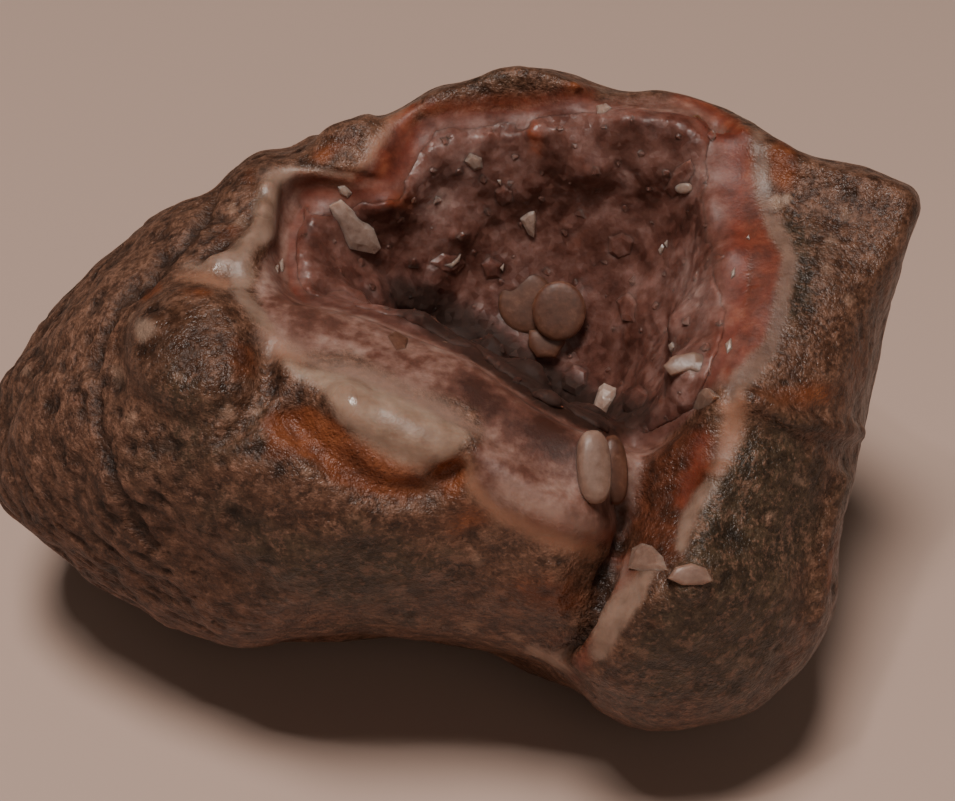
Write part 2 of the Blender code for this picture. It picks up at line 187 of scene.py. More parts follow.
def cad_mesh(node):
    mesh = evaluated_mesh(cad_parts[node])
    mesh.materials.clear()
    return mesh


def joined(name, meshes):
    """One new mesh with the places and faces of all of these."""
    places, faces = [], []
    for mesh in meshes:
        start = len(places)
        places += [list(vertex.co) for vertex in mesh.vertices]
        faces += [[corner + start for corner in face.vertices] for face in mesh.polygons]
    return new_mesh(name, places, faces)


def grown_crust(name):
    """The crust with its cut faces worn round and grown a little, as an even mesh."""
    crust = new_object(name, cad_mesh("quartz_crust"))
    remesh(crust, CRUST_VOXEL)
    places, edges = mesh_arrays(crust.data)
    depth = region_field(pixels_of(places), OPENING)
    places = relaxed(places, edges, CUT_WEAR)
    worn = relaxed(places, edges, WALL_WEAR, WALL_SHARE)
    places += (worn - places) * smooth_step(*WALL_BAND, depth)[:, None]
    places -= EYE_WAY * RIM_PRESS * MM * smooth_step(*PRESSED_BAND, np.abs(depth))[:, None]
    set_places(crust.data, places)
    set_places(crust.data, mesh_arrays(crust.data)[0] + vertex_normals(crust.data) * CRUST_GROWTH * MM)
    return crust


# Stone that closes the gap behind the crust's top right: across, back and top in millimetres, and its foot
RIM_FILL = [(8.6, 8.2, 37.0), (16.6, 7.8, 36.6), (18.0, 8.8, 36.1), (17.4, 10.4, 36.1), (14.0, 11.4, 36.3),
            (10.0, 11.4, 36.6), (8.6, 10.6, 37.2)]
RIM_FILL_FOOT = 27.0


def rim_fill():
    """A block of stone between the crust's back and the shell."""
    count = len(RIM_FILL)
    places = [(x * MM, y * MM, RIM_FILL_FOOT * MM) for x, y, top in RIM_FILL]
    places += [(x * MM, y * MM, top * MM) for x, y, top in RIM_FILL]
    faces = [(k, (k + 1) % count, (k + 1) % count + count, k + count) for k in range(count)]
    faces += [tuple(range(count))[::-1], tuple(range(count, 2 * count))]
    return new_mesh("rim_fill", places, faces)


def fused_stone(name, crust):
    """The stone with the crust grown onto it, as one even mesh."""
    stone = new_object(name, joined(name, [cad_mesh("agate_nodule"), crust.data, rim_fill()]))
    remesh(stone, STONE_VOXEL)
    keep_largest(stone.data)
    return stone


def keep_largest(mesh):
    """Removes what hangs separate from the mesh's largest piece, such as sealed pockets."""
    _, edges = mesh_arrays(mesh)
    label = np.arange(len(mesh.vertices))
    while True:
        low = np.minimum(label[edges[:, 0]], label[edges[:, 1]])
        before = label.copy()
        np.minimum.at(label, edges[:, 0], low)
        np.minimum.at(label, edges[:, 1], low)
        label = label[label]
        if np.array_equal(before, label):
            break
    largest = np.bincount(label).argmax()
    bm = bmesh.new()
    bm.from_mesh(mesh)
    strays = [vertex for vertex in bm.verts if label[vertex.index] != largest]
    bmesh.ops.delete(bm, geom=strays, context="VERTS")
    bm.to_mesh(mesh)
    bm.free()


def mesh_arrays(mesh):
    """The mesh's vertex places and its edges, as arrays."""
    places = np.empty(len(mesh.vertices) * 3)
    mesh.vertices.foreach_get("co", places)
    edges = np.empty(len(mesh.edges) * 2, int)
    mesh.edges.foreach_get("vertices", edges)
    return places.reshape(-1, 3), edges.reshape(-1, 2)


def relaxed(places, edges, rounds, share=0.5):
    """The places after each moved this share of the way to its neighbours' mean, a number of times."""
    count = np.bincount(edges.ravel(), minlength=len(places))[:, None]
    for _ in range(rounds):
        total = np.zeros_like(places)
        for axis in range(3):
            total[:, axis] = np.bincount(edges[:, 0], places[edges[:, 1], axis], len(places))
            total[:, axis] += np.bincount(edges[:, 1], places[edges[:, 0], axis], len(places))
        places = places + (total / count - places) * share
    return places


def set_places(mesh, places):
    mesh.vertices.foreach_set("co", places.ravel())
    mesh.update()


def vertex_normals(mesh):
    normals = np.empty(len(mesh.vertices) * 3)
    mesh.vertices.foreach_get("normal", normals)
    return normals.reshape(-1, 3)


def set_attribute(mesh, name, values):
    layer = mesh.attributes.get(name) or mesh.attributes.new(name, "FLOAT", "POINT")
    layer.data.foreach_set("value", np.asarray(values, np.float32))


def set_vectors(mesh, name, values):
    layer = mesh.attributes.get(name) or mesh.attributes.new(name, "FLOAT_VECTOR", "POINT")
    layer.data.foreach_set("vector", np.asarray(values, np.float32).ravel())


# node materials

# The finest grain that noise has, in millimetres
FINEST_GRAIN = 0.06
QUARTZ_IOR = 1.54
# How strongly rock and crust mirror the light
DULL_SHINE = 0.35


def linear(colour):
    """A screen colour, with values from 0 to 255, as the linear one with alpha that shaders use."""
    values = [value / 255.0 for value in colour]
    return (*(v / 12.92 if v <= 0.04045 else ((v + 0.055) / 1.055) ** 2.4 for v in values), 1.0)


class Nodes:
    """A short way to write a node tree."""

    def __init__(self, name):
        self.material = bpy.data.materials.new(name)
        self.material.use_nodes = True
        self.tree = self.material.node_tree
        self.shader = self.tree.nodes["Principled BSDF"]

    def add(self, kind, **settings):
        node = self.tree.nodes.new(kind)
        for key, value in settings.items():
            setattr(node, key, value)
        return node

    def link(self, source, target):
        """Gives the target a socket's value, a number, or a tuple that is a screen colour."""
        if isinstance(source, bpy.types.NodeSocket):
            self.tree.links.new(source, target)
        else:
            target.default_value = linear(source) if isinstance(source, tuple) else source

    def position(self):
        return self.add("ShaderNodeNewGeometry").outputs["Position"]

    def noise(self, size, detail=3.0, rough=0.55, vector=None):
        """Noise from 0 to 1 about one half, with features of this size in millimetres."""
        node = self.add("ShaderNodeTexNoise")
        node.inputs["Scale"].default_value = 1.0 / (size * MM)
        node.inputs["Detail"].default_value = min(detail, math.log2(size / FINEST_GRAIN))
        node.inputs["Roughness"].default_value = rough
        self.link(vector or self.position(), node.inputs["Vector"])
        return node.outputs["Fac"]

    def vector(self, name):
        return self.add("ShaderNodeAttribute", attribute_name=name).outputs["Vector"]

    def facets(self, size, tilt, normal=None):
        """The surface's direction, tilted at random in each cell of this size in millimetres."""
        cells = self.add("ShaderNodeTexVoronoi")
        cells.inputs["Scale"].default_value = 1.0 / (size * MM)
        self.link(self.position(), cells.inputs["Vector"])
        offset = self.add("ShaderNodeVectorMath", operation="SUBTRACT")
        self.link(cells.outputs["Color"], offset.inputs[0])
        offset.inputs[1].default_value = (0.5, 0.5, 0.5)
        tilted = self.add("ShaderNodeVectorMath", operation="MULTIPLY_ADD")
        self.link(offset.outputs[0], tilted.inputs[0])
        tilted.inputs[1].default_value = (tilt, tilt, tilt)
        self.link(normal or self.add("ShaderNodeNewGeometry").outputs["Normal"], tilted.inputs[2])
        result = self.add("ShaderNodeVectorMath", operation="NORMALIZE")
        self.link(tilted.outputs[0], result.inputs[0])
        return result.outputs[0]

    def attribute(self, name):
        return self.add("ShaderNodeAttribute", attribute_name=name).outputs["Fac"]

    def math(self, operation, a, b):
        node = self.add("ShaderNodeMath", operation=operation)
        self.link(a, node.inputs[0])
        self.link(b, node.inputs[1])
        return node.outputs[0]

    def times(self, a, b):
        return self.math("MULTIPLY", a, b)

    def plus(self, a, b):
        return self.math("ADD", a, b)

    def minus(self, a, b):
        return self.math("SUBTRACT", a, b)

    def larger(self, a, b):
        return self.math("MAXIMUM", a, b)

    def step(self, value, low, high, to_low=0.0, to_high=1.0):
        node = self.add("ShaderNodeMapRange", interpolation_type="SMOOTHSTEP")
        self.link(value, node.inputs["Value"])
        for key, number in (("From Min", low), ("From Max", high), ("To Min", to_low), ("To Max", to_high)):
            self.link(number, node.inputs[key])
        return node.outputs["Result"]

    def mix(self, share, a, b, kind="RGBA"):
        """What lies this share of the way from a to b."""
        node = self.add("ShaderNodeMix", data_type=kind)
        for value, key in ((share, "Factor"), (a, "A"), (b, "B")):
            self.link(value, node.inputs[key])
        return node.outputs["Result"]

    def mix_value(self, share, a, b):
        return self.mix(share, a, b, "FLOAT")

    def paint(self, colour, mask, share, over):
        """Lays a colour over the first one where the mask is, up to this share."""
        return self.mix(self.times(mask, share), colour, over)

    def ramp(self, value, stops):
        node = self.add("ShaderNodeValToRGB")
        elements = node.color_ramp.elements
        while len(elements) < len(stops):
            elements.new(0.5)
        for element, (position, colour) in zip(elements, stops):
            element.position = position
            element.color = linear(colour)
        self.link(value, node.inputs["Fac"])
        return node.outputs["Color"]

    def bump(self, height, distance, strength, normal=None):
        node = self.add("ShaderNodeBump")
        self.link(strength, node.inputs["Strength"])
        node.inputs["Distance"].default_value = distance * MM
        self.link(height, node.inputs["Height"])
        if normal:
            self.link(normal, node.inputs["Normal"])
        return node.outputs["Normal"]

    def translucent(self, share, radius, scale):
        """Lets light into quartz: its share, its reach in red, green and blue, and that in millimetres."""
        self.link(share, self.shader.inputs["Subsurface Weight"])
        self.shader.inputs["Subsurface Radius"].default_value = radius
        self.shader.inputs["Subsurface Scale"].default_value = scale * MM
        self.shader.inputs["IOR"].default_value = QUARTZ_IOR


# the stone: where its colours and forms are, in the photograph's pixels

BULGE_STRANDS = [
    [(288, 368, 4), (300, 378, 7), (316, 384, 7)],
    [(318, 380, 8), (340, 392, 15), (362, 410, 23), (390, 424, 27), (414, 436, 27), (440, 442, 18),
     (460, 440, 6)],
]
BAND_STRANDS = [
    # the thin band down the left of the opening, and the corner that it turns at the left
    [(352, 178, 1), (325, 172, 2), (298, 168, 3), (274, 180, 9), (266, 205, 12), (264, 228, 12),
     (252, 243, 10), (234, 260, 10), (210, 266, 6), (182, 265, 1)],
    [(236, 260, 12), (242, 274, 12), (238, 286, 8)],
    # down the left side of the lip
    [(234, 290, 6), (244, 304, 9), (256, 318, 9), (268, 330, 4)],
    # where the two lobes meet, below the opening
    [(648, 574, 6), (634, 590, 11), (618, 610, 14), (606, 632, 13), (598, 654, 9)],
    [(712, 488, 6), (700, 500, 9), (688, 524, 8), (682, 546, 6)],
    [(530, 650, 4), (552, 660, 8), (572, 670, 4)],
]
BAND_IN_PAINTED_SHADE_STRANDS = [
    # the band down the right of the opening, its white painted darker as shade
    [(757, 136, 5), (761, 165, 8), (763, 192, 7), (768, 212, 7), (780, 236, 8), (790, 256, 7), (787, 276, 9),
     (782, 300, 9), (777, 324, 8), (771, 344, 8), (757, 364, 11), (741, 380, 12), (733, 396, 7)],
]
HAZE_STRANDS = [
    # where the white fades into clear quartz along the lip
    [(300, 362, 4), (340, 370, 10), (380, 386, 14), (420, 404, 14), (452, 420, 12), (476, 432, 6)],
    [(268, 336, 8), (296, 352, 8)],
    [(500, 486, 4), (548, 512, 8), (590, 530, 6)],
    [(624, 564, 4), (622, 584, 5)],
    [(270, 178, 6), (300, 176, 4)],
]
CREAM_STRANDS = [
    [(362, 172, 6), (374, 150, 9), (392, 126, 8), (404, 110, 5)],
    [(300, 176, 2), (330, 180, 4), (360, 184, 5), (378, 180, 6)],
    [(466, 458, 5), (478, 488, 10), (504, 512, 12), (536, 528, 13), (568, 542, 12), (592, 550, 8)],
    [(734, 404, 10), (732, 430, 11), (724, 450, 11), (716, 468, 10)],
    [(268, 332, 6), (284, 350, 9), (300, 362, 8)],
    [(178, 276, 4), (204, 278, 7), (226, 288, 6)],
    [(360, 436, 4), (392, 454, 7), (420, 464, 8)],
]
RED_STRANDS = [
    [(412, 108, 6), (402, 128, 12), (394, 150, 13), (384, 172, 12), (378, 190, 8)],
    [(386, 186, 6), (360, 180, 4), (330, 178, 4), (300, 182, 7)],
    [(430, 108, 6), (470, 106, 4), (520, 102, 5), (560, 96, 5), (590, 94, 3)],
    [(680, 98, 6), (708, 108, 9), (726, 122, 9), (742, 138, 9)],
    [(740, 140, 9), (744, 170, 12), (746, 200, 13), (752, 230, 16), (762, 254, 18), (768, 266, 18),
     (764, 290, 18), (756, 320, 18), (746, 350, 16), (730, 372, 8)],
    [(622, 556, 6), (626, 574, 8), (620, 590, 6)],
    [(590, 640, 2), (584, 656, 5), (578, 672, 6)],
    [(534, 516, 3), (560, 522, 5), (586, 532, 6), (610, 536, 6)],
    [(700, 440, 8), (696, 470, 10), (682, 500, 8)],
]
QUARTZ_REGION = [
    (270, 186), (300, 180), (345, 190), (400, 130), (560, 100), (700, 96), (742, 140), (742, 370),
    (700, 400), (640, 470), (632, 520), (606, 540), (552, 522), (500, 506), (480, 482), (474, 452),
    (484, 436), (478, 408), (448, 396), (416, 390), (390, 374), (350, 352), (322, 352), (300, 352),
    (276, 336), (262, 312), (256, 290), (262, 262), (276, 240), (278, 210),
]
VALLEY_REGION = [
    (632, 470), (660, 440), (700, 420), (722, 440), (712, 480), (694, 520), (680, 556), (660, 566),
    (640, 560), (626, 530),
]
# Round spots: x, y, half length, half width, turn in degrees, strength
RUST_SPOTS = [
    (300, 428, 34, 20, -12, 1.7), (350, 462, 40, 24, -28, 1.6), (398, 484, 34, 18, -12, 1.3),
    (452, 472, 14, 22, 0, 1.4), (244, 366, 20, 24, 15, 0.75), (152, 292, 14, 14, 40, 1.1),
    (202, 306, 18, 12, 0, 0.8), (560, 590, 44, 26, -15, 0.5), (470, 520, 34, 20, 0, 0.75),
    (520, 600, 60, 30, 10, 0.4), (782, 166, 18, 28, 0, 1.2), (800, 395, 56, 18, 0, 0.8),
    (860, 360, 16, 36, 0, 0.5), (250, 180, 12, 20, 0, 0.5), (330, 150, 36, 12, 25, 0.8),
    (582, 86, 18, 6, 0, 1.2), (500, 98, 60, 8, 0, 0.6), (100, 340, 40, 24, 30, 0.35),
    (60, 450, 60, 30, 0, 0.3), (828, 560, 8, 44, -12, 0.9), (655, 625, 16, 14, 0, 0.5),
    (560, 640, 26, 12, 20, 0.5), (200, 600, 80, 20, -25, 0.35), (232, 232, 26, 10, 30, 0.6),
    (276, 452, 18, 10, 0, 0.9), (430, 560, 30, 20, 30, 0.45), (80, 400, 20, 30, 0, 0.3),
]
GLOSS_SPOTS = [
    (184, 332, 12, 14, 0, 0.8), (775, 416, 26, 10, -20, 0.8), (350, 408, 16, 18, 0, 0.9),
    (262, 212, 10, 16, 0, 0.8), (212, 270, 12, 6, 0, 0.8),
]
# Painted shade: darker spots over the dome, the right face, the top hump, the lower lobe and the creases
# round the bulge
PAINTED_SHADE_SPOTS = [
    (190, 356, 44, 38, 0, 0.9), (824, 250, 40, 70, 0, 0.65), (800, 470, 40, 50, 0, 0.3),
    (790, 290, 20, 60, 0, 0.4), (500, 84, 60, 10, 0, 0.4), (280, 455, 26, 12, -20, 0.8),
    (250, 385, 10, 30, 0, 0.4), (430, 500, 40, 10, -10, 0.4), (700, 640, 60, 40, 0, 0.25),
]
LIP_DARK_SPOTS = [
    (512, 418, 54, 22, -38, 1.0), (470, 384, 24, 12, -30, 0.8), (560, 440, 26, 22, -30, 0.7),
    (380, 352, 14, 8, 0, 0.4), (590, 520, 24, 10, 0, 0.5), (300, 306, 20, 22, 0, 0.5),
    (480, 420, 12, 16, 0, 0.4),
]
GREY_SPOTS = [
    (180, 370, 54, 44, 0, 0.25), (760, 500, 80, 90, 0, 1.0), (700, 650, 100, 70, 0, 1.0),
    (300, 560, 120, 50, -20, 0.7), (200, 430, 70, 50, 0, 0.5), (790, 270, 26, 60, 0, 0.9),
    (500, 80, 60, 10, 0, 0.3), (400, 560, 90, 40, 0, 0.5), (300, 115, 50, 14, 25, 0.4),
]
PALE_SPOTS = [
    (70, 400, 70, 70, 30, 0.55), (100, 300, 60, 40, 40, 0.7), (830, 220, 40, 60, 0, 0.3),
    (850, 320, 30, 60, 0, 0.3), (790, 540, 40, 40, 0, 0.35), (180, 230, 40, 20, 30, 0.5),
    (560, 610, 60, 30, 0, 0.4), (700, 700, 80, 24, 0, 0.3),
]
ROUND_SPOTS = [(158.6, 340, 8.5), (152, 332, 3), (774, 202, 8), (785, 199, 6)]
FLECKS = [
    # small pale flecks on the skin: x, y, radius
    (117, 374, 8), (128, 418, 7), (229, 412, 7), (258, 408, 6), (137, 322, 5), (188, 384, 4), (164, 446, 5),
    (306, 474, 4), (242, 222, 7), (232, 208, 5), (478, 560, 6), (402, 590, 5), (516, 638, 6), (470, 626, 7),
    (744, 660, 5), (722, 662, 4), (800, 480, 5), (770, 516, 4), (832, 240, 6), (846, 214, 5), (850, 300, 6),
    (826, 268, 5), (64, 300, 4), (26, 372, 4),
]
WORN_RIM = [
    # where the rim between skin and crust was worn flat: lines of (x, y, half width)
    [(728, 126, 10), (748, 170, 24), (752, 230, 28), (758, 290, 28), (744, 350, 26), (716, 400, 20)],
    [(400, 122, 12), (388, 172, 16), (344, 184, 16), (296, 184, 18), (276, 220, 20), (272, 270, 20),
     (286, 310, 20)],
    [(286, 310, 20), (340, 326, 18), (400, 344, 18), (460, 372, 20), (520, 412, 20), (580, 444, 20),
     (640, 462, 20)],
    [(640, 462, 20), (690, 436, 24), (716, 400, 20)],
    [(420, 112, 14), (480, 106, 12), (560, 98, 12), (640, 92, 12), (700, 98, 14), (728, 126, 14)],
]
FORMS = [
    # rises and hollows of the worn skin: a line of (x, y, half width), how far it fades, millimetres high
    ([(286, 374, 0), (330, 396, 4), (380, 420, 6), (430, 440, 6), (468, 450, 2)], 26, 0.75),
    ([(350, 408, 6)], 26, 0.55),
    ([(492, 470, 4), (540, 505, 6), (596, 524, 2)], 26, 0.5),
    ([(190, 350, 40)], 36, 1.3),
    ([(214, 262, 0), (240, 262, 4), (262, 236, 4), (268, 190, 2)], 14, 0.45),
    ([(236, 296, 2), (262, 330, 3)], 12, 0.35),
    ([(290, 420, 2), (330, 458, 4), (380, 494, 4), (430, 494, 2), (456, 466, 0)], 20, -0.8),
    ([(266, 350, 0), (266, 384, 4), (246, 420, 4), (222, 440, 0)], 14, -0.6),
    ([(744, 424, 4), (790, 440, 4), (850, 454, 4)], 16, -0.2),
    ([(744, 398, 2), (776, 410, 2), (790, 420, 2), (856, 432, 2)], 12, 0.5),
    ([(632, 592, 4), (612, 624, 4), (594, 664, 4)], 12, -0.3),
    ([(690, 584, 8)], 16, 0.7),
    ([(720, 480, 8), (700, 540, 6)], 16, 0.4),
    ([(300, 130, 6), (360, 120, 6)], 16, 0.5),
    ([(844, 480, 2), (826, 540, 2), (814, 620, 2)], 9, 0.5),
]
CREVICES = [
    # creases, cut in and darkened as painted shade: lines of (x, y, half width), then depth in millimetres
    ([(622, 505, 2), (624, 530, 3), (616, 556, 3), (602, 590, 4), (586, 622, 4), (572, 644, 3),
     (562, 656, 2)], 1.0),
    ([(165, 268, 1), (140, 284, 2), (116, 305, 2), (102, 335, 2), (96, 365, 2), (94, 395, 2), (98, 430, 2),
     (112, 480, 2), (130, 518, 2), (152, 548, 2)], 0.4),
    ([(300, 162, 2), (330, 172, 2), (360, 176, 2), (385, 184, 2)], 0.2),
    ([(214, 200, 1), (190, 236, 2), (160, 262, 2), (148, 276, 1)], 0.45),
    ([(196, 262, 1), (222, 246, 1), (246, 226, 1), (262, 196, 1)], 0.3),
    ([(274, 360, 1), (276, 376, 2), (276, 392, 1)], 0.3),
]


def dome_grain(points, places):
    """Coordinates in millimetres that run round the dome, outward from it, and out of the face."""
    dx, dy = (points[:, 0] - DOME[0]) * PIXEL, (DOME[1] - points[:, 1]) * PIXEL
    reach = np.hypot(dx, dy)
    around = np.arctan2(dy, -dx)
    out = (-places[:, 1] * COS + places[:, 2] * SIN) / MM
    return np.column_stack([around * 10.0 * GRAIN_SQUEEZE, reach, out])


# Where the worn end starts and is full, in millimetres across. Its scratches start between these distances
# from the dome, in pixels, and end between these angles round it
WORN_END = (-7.0, -18.0)
SCRATCH_START = (56.0, 92.0)
SCRATCH_ANGLES = (2.5, 1.9)
# How high or deep each kind of wear goes, in millimetres
LUMP_RISE, RIPPLE_RISE = 0.16, 0.09
SCRATCH_CUT, WORN_SCRATCH_CUT = 0.05, 0.34
PIT_CUT, CRACK_CUT = 0.3, 0.16


def weathering(places, points, polish):
    """How the rock's skin stands at each place, in millimetres, and how deep its pits are from 0 to 1, which
    darkens them as painted shade.
    """
    worn = smooth_step(*WORN_END, places[:, 0] / MM)
    dx, dy = points[:, 0] - DOME[0], DOME[1] - points[:, 1]
    worn *= smooth_step(*SCRATCH_START, np.hypot(dx, dy))
    worn *= smooth_step(*SCRATCH_ANGLES, np.abs(np.arctan2(dy, -dx)))
    rock = 1.0 - 0.95 * polish
    grain = dome_grain(points, places) * MM
    lumps = noise_at(places, 6.5, 3.1, 2)
    ripple = noise_at(places, 2.2, 6.4, 2)
    scratches = np.maximum(0.0, noise_at(grain, 0.9, 7.7, 3) - 0.05)
    pits = np.maximum(0.0, noise_at(places, 1.5, 2.4, 2) - 0.3)
    cracks = np.clip(0.05 - np.abs(noise_at(grain, 3.2, 1.3, 2)), 0.0, 1.0) / 0.05
    height = (LUMP_RISE * lumps + RIPPLE_RISE * ripple) * rock
    height -= (SCRATCH_CUT + WORN_SCRATCH_CUT * worn) * scratches * rock
    height -= PIT_CUT * pits * rock
    height -= CRACK_CUT * worn * cracks * rock
    depth = np.clip((scratches * (0.2 + 1.6 * worn) + pits * 1.6 + cracks * 0.5 * worn) * rock, 0.0, 1.0)
    return height, depth, worn


def crust_reach(places, crust):
    """How far each place is from the grown crust, in millimetres."""
    tree = tree_of(crust.data)
    return np.array([tree.find_nearest(place)[3] for place in places.tolist()]) / MM


# How near a point has to be to a band or a region to be polished, and to a worn rim to be smooth, in pixels
BAND_POLISH, REGION_POLISH, RIM_POLISH = (-14.0, 6.0), (-14.0, 2.0), (-26.0, 8.0)
# How many of the rust spots, from the first, are as smooth as the bulge that they lie under
SMOOTH_RUST = 4
# How far noise moves the edges of the creases, in pixels
CREASE_WANDER = 7.0
# How far from each band the hidden sides count as, in pixels
FAR_AWAY = 60.0
# Where a place counts as crust, and as the inner side of the lip, in millimetres from the grown crust
CRUST_REACH, LIP_REACH = (0.6, 0.15), (2.6, 1.8)
# How far back the lip's inner side goes, in millimetres
LIP_BACK = (4.0, 1.0)


def smoothness(points):
    """How polished the skin is at each point: the bands, the quartz, the valley and the rust by the bulge."""
    bands = BULGE_STRANDS + BAND_STRANDS + BAND_IN_PAINTED_SHADE_STRANDS + CREAM_STRANDS + RED_STRANDS
    clear = smooth_step(*BAND_POLISH, field(points, bands))
    for region in (QUARTZ_REGION, VALLEY_REGION):
        clear = np.maximum(clear, smooth_step(*REGION_POLISH, region_field(points, region)))
    return np.maximum(clear, np.clip(blobs(points, RUST_SPOTS[:SMOOTH_RUST]), 0.0, 1.0))


def shape_stone(obj, crust):
    """Wears the fused mesh into its photographed form, and stores where its colours are."""
    mesh = obj.data
    places, edges = mesh_arrays(mesh)
    reach = crust_reach(places, crust)
    rim = smooth_step(*RIM_POLISH, field(pixels_of(places), WORN_RIM))[:, None]
    places = relaxed(places, edges, SKIN_WEAR, SKIN_SHARE)
    places += (relaxed(places, edges, RIM_WEAR, SKIN_SHARE) - places) * rim
    set_places(mesh, places)
    normals = vertex_normals(mesh)
    points = pixels_of(places)
    to_eye = EYE / MM - places / MM
    facing = np.sum(normals * to_eye, axis=1) / np.linalg.norm(to_eye, axis=1)
    seen = smooth_step(-0.05, 0.2, facing)
    # the crust, and the inner side of the lip, which turns away from the camera
    lip = smooth_step(*LIP_REACH, reach) * (1.0 - seen) * smooth_step(*LIP_BACK, places[:, 1] / MM)
    share = np.maximum(smooth_step(*CRUST_REACH, reach), lip)
    polish = np.maximum(smoothness(points) * seen, share)
    height, depth, worn = weathering(places, points, polish)
    on_stone = seen * (1.0 - share)
    for line, fade, lift in FORMS:
        height += lift * smooth_step(-fade, 0.0, strand_field(points, line)) * on_stone
    wander = noise_at(places, 1.6, 9.0) * CREASE_WANDER * (1.0 - polish)
    for line, cut in CREVICES:
        near = smooth_step(-6.0, 1.0, strand_field(points, line) + wander) * on_stone
        height -= cut * near
        # the creases are darkened too, as painted shade
        depth = np.maximum(depth, near * 0.9)
    height -= CRUST_SINK * share * smooth_step(0.6, 1.0, crystal_zone(points, places))
    set_places(mesh, places + normals * height[:, None] * MM)
    set_attribute(mesh, "pit_shade", depth)
    set_attribute(mesh, "worn", worn)
    set_attribute(mesh, "crust", share)
    set_vectors(mesh, "grain", dome_grain(points, places) * MM)
    store_stone_colours(mesh, points, seen)
    store_crust_colours(mesh)


def store_stone_colours(mesh, points, seen):
    """Stores how far inside each band and region every place is, and how much of each kind of spot it has."""
    # on the hidden sides every band is far away
    hidden = (1.0 - seen) * -FAR_AWAY
    for name, strands in (
        ("bulge", BULGE_STRANDS), ("band", BAND_STRANDS), ("band_in_painted_shade", BAND_IN_PAINTED_SHADE_STRANDS),
        ("haze", HAZE_STRANDS), ("cream", CREAM_STRANDS), ("red", RED_STRANDS),
        ("fleck", [[fleck] for fleck in FLECKS]), ("round_spot", [[spot] for spot in ROUND_SPOTS]),
    ):
        set_attribute(mesh, name, field(points, strands) + hidden)
    for name, region in (("lip_quartz", QUARTZ_REGION), ("valley", VALLEY_REGION)):
        set_attribute(mesh, name, region_field(points, region) + hidden)
    # the last number is what the hidden sides have
    for name, spots, behind in (
        ("rust", RUST_SPOTS, 0.12), ("grey", GREY_SPOTS, 0.35), ("pale", PALE_SPOTS, 0.3),
        ("lip_dark", LIP_DARK_SPOTS, 0.0), ("gloss", GLOSS_SPOTS, 0.0), ("shade", PAINTED_SHADE_SPOTS, 0.0),
    ):
        set_attribute(mesh, name, blobs(points, spots) * seen + behind * (1.0 - seen))


def masked(n, name, noise_size, noise_reach, soft):
    """A region's mask from 0 to 1, with its edge moved by noise. Sizes of the edge are in pixels."""
    wobble = n.times(n.minus(n.noise(noise_size, 4.0), 0.5), noise_reach * 2.0)
    return n.step(n.plus(n.attribute(name), wobble), -soft, soft)


def streaks(n, size):
    """Noise of this size in millimetres, with scratches round the dome in its place at the worn end."""
    scratches = n.noise(0.34, 4.0, 0.7, n.vector("grain"))
    return n.mix_value(n.attribute("worn"), n.noise(size, 5.0, 0.7), scratches)


def rock_colour(n):
    """Brown and olive-grey rock with paler and darker grains and rust, and painted shade in its pits and
    creases and over the spots where shade falls.
    """
    coarse, mottle = n.noise(4.2, 5.0, 0.62), n.noise(1.3, 6.0, 0.7)
    brown = n.ramp(mottle, [(0.30, (54, 34, 25)), (0.46, (88, 58, 43)), (0.58, (110, 76, 58)),
                            (0.72, (144, 104, 84))])
    olive = n.ramp(mottle, [(0.30, (44, 34, 25)), (0.48, (68, 53, 39)), (0.62, (88, 70, 53)),
                            (0.76, (114, 92, 74))])
    shade = n.times(n.minus(coarse, 0.5), 1.6)
    colour = n.mix(n.step(n.plus(n.attribute("grey"), shade), 0.15, 0.75), brown, olive)
    speck = n.noise(0.3, 3.0, 0.65)
    fine = n.plus(n.times(streaks(n, 0.6), 0.5), n.times(speck, 0.5))
    pale = n.times(n.attribute("pale"), 0.12)
    speckle = n.step(n.plus(fine, pale), 0.54, 0.70)
    colour = n.paint(colour, speckle, 0.5, (158, 116, 94))
    blotch = n.step(n.plus(n.noise(0.95, 7.0, 0.72), n.times(shade, 0.12)), 0.53, 0.61)
    colour = n.paint(colour, blotch, 0.42, (150, 110, 90))
    dark_blotch = n.step(n.noise(0.8, 7.0, 0.72), 0.46, 0.39)
    colour = n.paint(colour, dark_blotch, 0.4, (34, 23, 16))
    dark_grain = n.step(fine, 0.47, 0.36)
    colour = n.paint(colour, dark_grain, 0.5, (30, 20, 14))
    colour = n.paint(colour, masked(n, "fleck", 0.6, 8.0, 4.0), 0.4, (176, 140, 118))
    colour = n.paint(colour, masked(n, "round_spot", 0.5, 4.0, 3.5), 0.6, (186, 156, 136))
    ragged = n.minus(n.noise(1.9, 6.0, 0.62), 0.5)
    rust_share = n.step(n.plus(n.attribute("rust"), ragged), 0.28, 0.9)
    rust_colour = n.ramp(n.noise(1.4, 5.0, 0.6), [(0.3, (88, 46, 28)), (0.5, (120, 64, 37)),
                                                  (0.7, (146, 84, 51))])
    colour = n.paint(colour, rust_share, 0.9, rust_colour)
    # painted shade laid over the dome, the right face, the top hump, the lower lobe and the creases round the
    # bulge
    colour = n.paint(colour, n.attribute("shade"), 0.5, (40, 24, 16))
    # painted shade: pits, scratches and creases darkened by their depth
    return n.paint(colour, n.attribute("pit_shade"), 0.75, (20, 13, 9))


